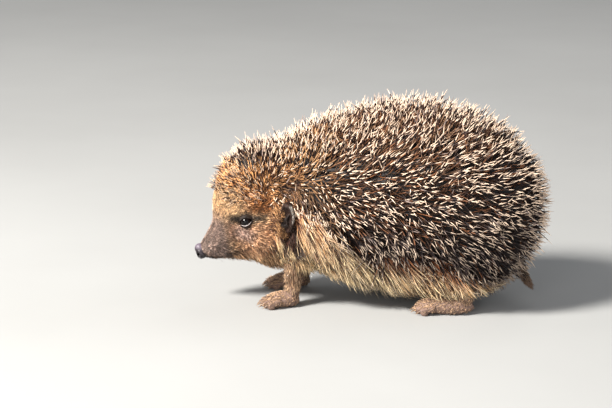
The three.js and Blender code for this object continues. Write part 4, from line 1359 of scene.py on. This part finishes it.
groom("whiskers", lambda p: np.where(np.linalg.norm((mirrored(p) - np.array([-107.5, 7.2, 35.8])) / np.array([6, 3, 3.2]), axis=1) < 1, 1.0, 0),
      44, length=lambda p: np.full(len(p), 13.0), lie=lambda p, n: np.stack([np.full(len(p), 0.85), np.sign(p[:, 1]) * 0.35, np.full(len(p), -0.15)], 1),
      lift=lambda p: np.full(len(p), 0.55), droop=0.25, rings=6, radius=lambda p: np.full(len(p), 0.085),
      colours=lambda p: (np.tile(C_DARK * 0.7, (len(p), 1)), np.tile(C_DARK * 1.6, (len(p), 1))), material=short_hair, jitter=0.12, hold=False)


# ------------------------------------------------------------------ nose
NOSTRIL = [(np.array([2.4, 3.5, 1.7]), 0.85, np.array([2.8, 3.4, -1.3]), 1.1), (np.array([2.6, 3.4, 0.0]), 1.25, np.array([1.3, 1.2, 0.2]), 0.8),
           (np.array([1.2, 4.4, -1.9]), 0.6, np.array([-0.8, 4.6, -2.9]), 0.5)]


def nose_field(p):
    x, y, z = p.T
    a, m = math.radians(30), np.abs(y)
    dx, dz = x - NOSE_AT[0], z - NOSE_AT[2]
    fwd, rise_ = -(dx * math.cos(a) + dz * math.sin(a)), -dx * math.sin(a) + dz * math.cos(a)
    f = ellipsoid(fwd, m, rise_, (-0.3, 0, 0.7), (3.9, 3.8, 5.2))
    f = smax(f, -ellipsoid(fwd, m, rise_, (6.2, 0, 2.8), (3.0, 3.4, 2.6)), 1.2)
    wings = ellipsoid(fwd, m, rise_, (0.4, 2.4, -0.9), (3.2, 2.2, 3.1))
    f = smin(f, wings, 1.0)
    ala = round_cone(fwd, m, rise_, np.array([1.2, 3.6, 1.4]), 0.8, np.array([-0.2, 4.2, -0.8]), 0.7)
    f = smin(f, ala, 0.8)
    for hole in NOSTRIL:
        f = smax(f, -round_cone(fwd, m, rise_, *hole), 0.3)
    groove = np.hypot(m, np.maximum(0, rise_ - 1.6) * 0.9)
    return f + 0.5 * np.exp(-(groove / 0.45) ** 2) * (fwd > 0)


nx, ny, nz = axis((-123.5, -109.5, 0.2)), axis((-5.8, 5.8, 0.2)), axis((25.5, 40.5, 0.2))
grid = np.stack(np.meshgrid(nx, ny, nz, indexing="ij"), -1).reshape(-1, 3)
nf = nose_field(grid).reshape(len(nx), len(ny), len(nz))
nv, nq = surface_nets(nf, nx, ny, nz)
nv = settle(nv, nose_field, 2, 0.12)
_a = math.radians(30)
_dx, _dz = nv[:, 0] - NOSE_AT[0], nv[:, 2] - NOSE_AT[2]
_local = np.stack([-(_dx * math.cos(_a) + _dz * math.sin(_a)), np.abs(nv[:, 1]), -_dx * math.sin(_a) + _dz * math.cos(_a)], 1)
_hole = np.minimum.reduce([round_cone(_local[:, 0], _local[:, 1], _local[:, 2], *h) for h in NOSTRIL])
# near black in and round the nostrils: painted shade in the holes. The pale top of the pad is a painted reflection of
# the sky.
dark = smooth((0.35 - _hole) / 0.5)[:, None]
top = smooth((nv[:, 2:3] - 33.5) / 3.0)
low_pad = smooth((29.5 - nv[:, 2:3]) / 2)
nose_tint = mix(mix(mix(srgb(38, 30, 35), srgb(98, 87, 98), top), srgb(66, 56, 64), low_pad * 0.7), srgb(7, 5, 6), dark)
nose = quad_object("nose_pad", to_row(nv), nq, nose_material(), [("tint", "FLOAT_COLOR", nose_tint)])
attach(nose, "root")
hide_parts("nose")

# ------------------------------------------------------------------ eyes
eye_mat = eye_material()
rim_lines, rim_radii = [], []
for name, side in (("left", -1), ("right", 1)):
    turn_side = np.array([1, side, 1])
    out = EYE_OUT * turn_side
    a = unit(np.cross(out, np.array([0, 0, 1.0])))
    b = np.cross(a, out)
    rings, around = 40, 56
    verts, tints = [], []
    for i in range(rings + 1):
        polar = math.pi * i / rings
        r = EYE_RADIUS - 0.05 + 0.28 * math.exp(-(polar / 0.62) ** 2)  # a low cornea
        for j in range(around):
            w = 2 * math.pi * j / around
            d = out * math.cos(polar) + (a * math.cos(w) + b * math.sin(w)) * math.sin(polar)
            verts.append(np.array(EYE_AT) * turn_side + d * r)
            iris = 0.5 * (1 + math.tanh((polar - 0.50) * 14)) * 0.5 * (1 - math.tanh((polar - 0.95) * 9))
            tints.append(srgb(4, 3, 4) * (1 - iris) + srgb(15, 9, 7) * iris)
    verts, tints = np.array(verts), np.array(tints)
    quads = np.array([[i * around + j, i * around + (j + 1) % around, (i + 1) * around + (j + 1) % around, (i + 1) * around + j]
                      for i in range(rings) for j in range(around)])
    if side > 0:
        quads = quads[:, ::-1]
    ball = quad_object("eyeball_" + name, to_row(verts), quads, eye_mat, [("tint", "FLOAT_COLOR", tints)])
    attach(ball, "root")
    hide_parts("eye_" + name)
    # the moist margin of the lower lid, a thin pale tube: its pale colour is a painted highlight of the wet rim
    t = np.linspace(-3.7, 3.6, 15)
    drop = -2.42 * (1 - (t / 4.5) ** 2)
    deep = np.sqrt(np.maximum((EYE_RADIUS + 0.22) ** 2 - t ** 2 - drop ** 2, 0.1))
    rim_lines.append((EYE + t[:, None] * EYE_SLIT + drop[:, None] * EYE_UP + deep[:, None] * EYE_OUT) * turn_side)
    rim_radii.append(0.18 * np.sin(np.linspace(0.25, math.pi, 15)) ** 0.6)
rim_radii = np.array(rim_radii)
rim_radii[:, -1] = 0
_rim = np.array([np.argmin(((TRI_C - l[7]) ** 2).sum(1)) for l in rim_lines])
lid_mat = lid_highlight_material()
strand_objects("lid_rim_highlights", np.array(rim_lines), rim_radii, 8, TRI_UV[_rim].mean(1), rng.random(2),
               [("along", "FLOAT", np.tile(np.linspace(0, 1, 15), (2, 1)))], lid_mat)


# ------------------------------------------------------------------ claws
claw_lines, claw_r = [], []
for spec in (FRONT_LEG, HIND_LEG):
    for side in (-1, 1):
        for knuckle, tip, claw in leg_points(spec, side)[3]:
            start = tip + np.array([0.9, 0, 0.4])
            end = claw + np.array([-0.3, 0, -0.45])
            ts = np.linspace(0, 1, 9)
            arch = np.array([0, 0, 1.5])
            line = start + (end - start) * ts[:, None] + 4 * (ts * (1 - ts))[:, None] * arch * 0.55
            line[:, 2] = np.maximum(line[:, 2], 0.35)
            claw_lines.append(line)
            claw_r.append(1.0 * (1 - ts ** 1.6) * 0.95 + 0.02)
claw_lines, claw_r = np.array(claw_lines), np.array(claw_r)
claw_r[:, -1] = 0
claw_mat = claw_material()
near = np.array([np.argmin(((TRI_C - l[0]) ** 2).sum(1)) for l in claw_lines])
strand_objects("claws", claw_lines, claw_r, 10, TRI_UV[near].mean(1), rng.random(len(claw_lines)),
               [("along", "FLOAT", np.tile(np.linspace(0, 1, 9), (len(claw_lines), 1)))], claw_mat)

# ------------------------------------------------------------------ floor, light, camera
lo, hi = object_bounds()
floor_me = bpy.data.meshes.new("floor")
R, S = 14.0, 96
fv = [(0, 0, 0)] + [(R * math.cos(i * 2 * math.pi / S), R * math.sin(i * 2 * math.pi / S), 0) for i in range(S)]
floor_me.from_pydata(fv, [], [(0, 1 + i, 1 + (i + 1) % S) for i in range(S)])
floor_me.materials.append(floor_material())
floor = bpy.data.objects.new("floor", floor_me)
bpy.context.scene.collection.objects.link(floor)


def area(name, at, aim, size, power, colour):
    light = bpy.data.lights.new(name, "AREA")
    light.shape = "DISK"
    light.size = size
    light.energy = power
    light.color = colour
    o = bpy.data.objects.new(name, light)
    o.location = at
    from mathutils import Vector
    o.rotation_euler = (Vector(aim) - Vector(at)).to_track_quat("-Z", "Y").to_euler()
    bpy.context.scene.collection.objects.link(o)
    return o


area("key", (-1.05, -0.85, 1.30), (0, 0, 0.06), 0.50, 102, (1.0, 0.97, 0.92))
area("fill", (1.3, -1.7, 0.8), (0, 0, 0.06), 1.6, 6, (0.93, 0.96, 1.0))
area("rim", (0.3, 1.1, 1.5), (0, 0, 0.07), 0.8, 4, (1.0, 0.98, 0.95))
area("front", (-0.5, -2.7, 0.80), (0.0, 0, 0.03), 1.3, 27, (1.0, 0.98, 0.95))
area("back", (2.3, 0.9, 1.1), (0.03, 0, 0.06), 1.5, 19, (0.95, 0.97, 1.0))
world = bpy.data.worlds.new("studio")
world.use_nodes = True
world.node_tree.nodes["Background"].inputs[0].default_value = (0.82, 0.86, 0.92, 1)
world.node_tree.nodes["Background"].inputs[1].default_value = 0.31
bpy.context.scene.world = world
bpy.context.scene.view_settings.view_transform = "Standard"

AZIMUTH, ELEVATION, DISTANCE = 7.0, 14.0, 1.50
target = np.array([(-48.8 + OFFSET[0]) / 1000, 0.0, 0.0616])
az, el = math.radians(AZIMUTH), math.radians(ELEVATION)
back = np.array([math.sin(az) * math.cos(el), -math.cos(az) * math.cos(el), math.sin(el)])
cam = bpy.data.cameras.new("camera")
cam.lens = 135
cam.sensor_width = 36
cam.clip_start, cam.clip_end = 0.05, 50
cam_o = bpy.data.objects.new("camera", cam)
from mathutils import Vector
cam_o.location = Vector(target + back * DISTANCE)
cam_o.rotation_euler = Vector(-back).to_track_quat("-Z", "Y").to_euler()
bpy.context.scene.collection.objects.link(cam_o)
bpy.context.scene.camera = cam_o
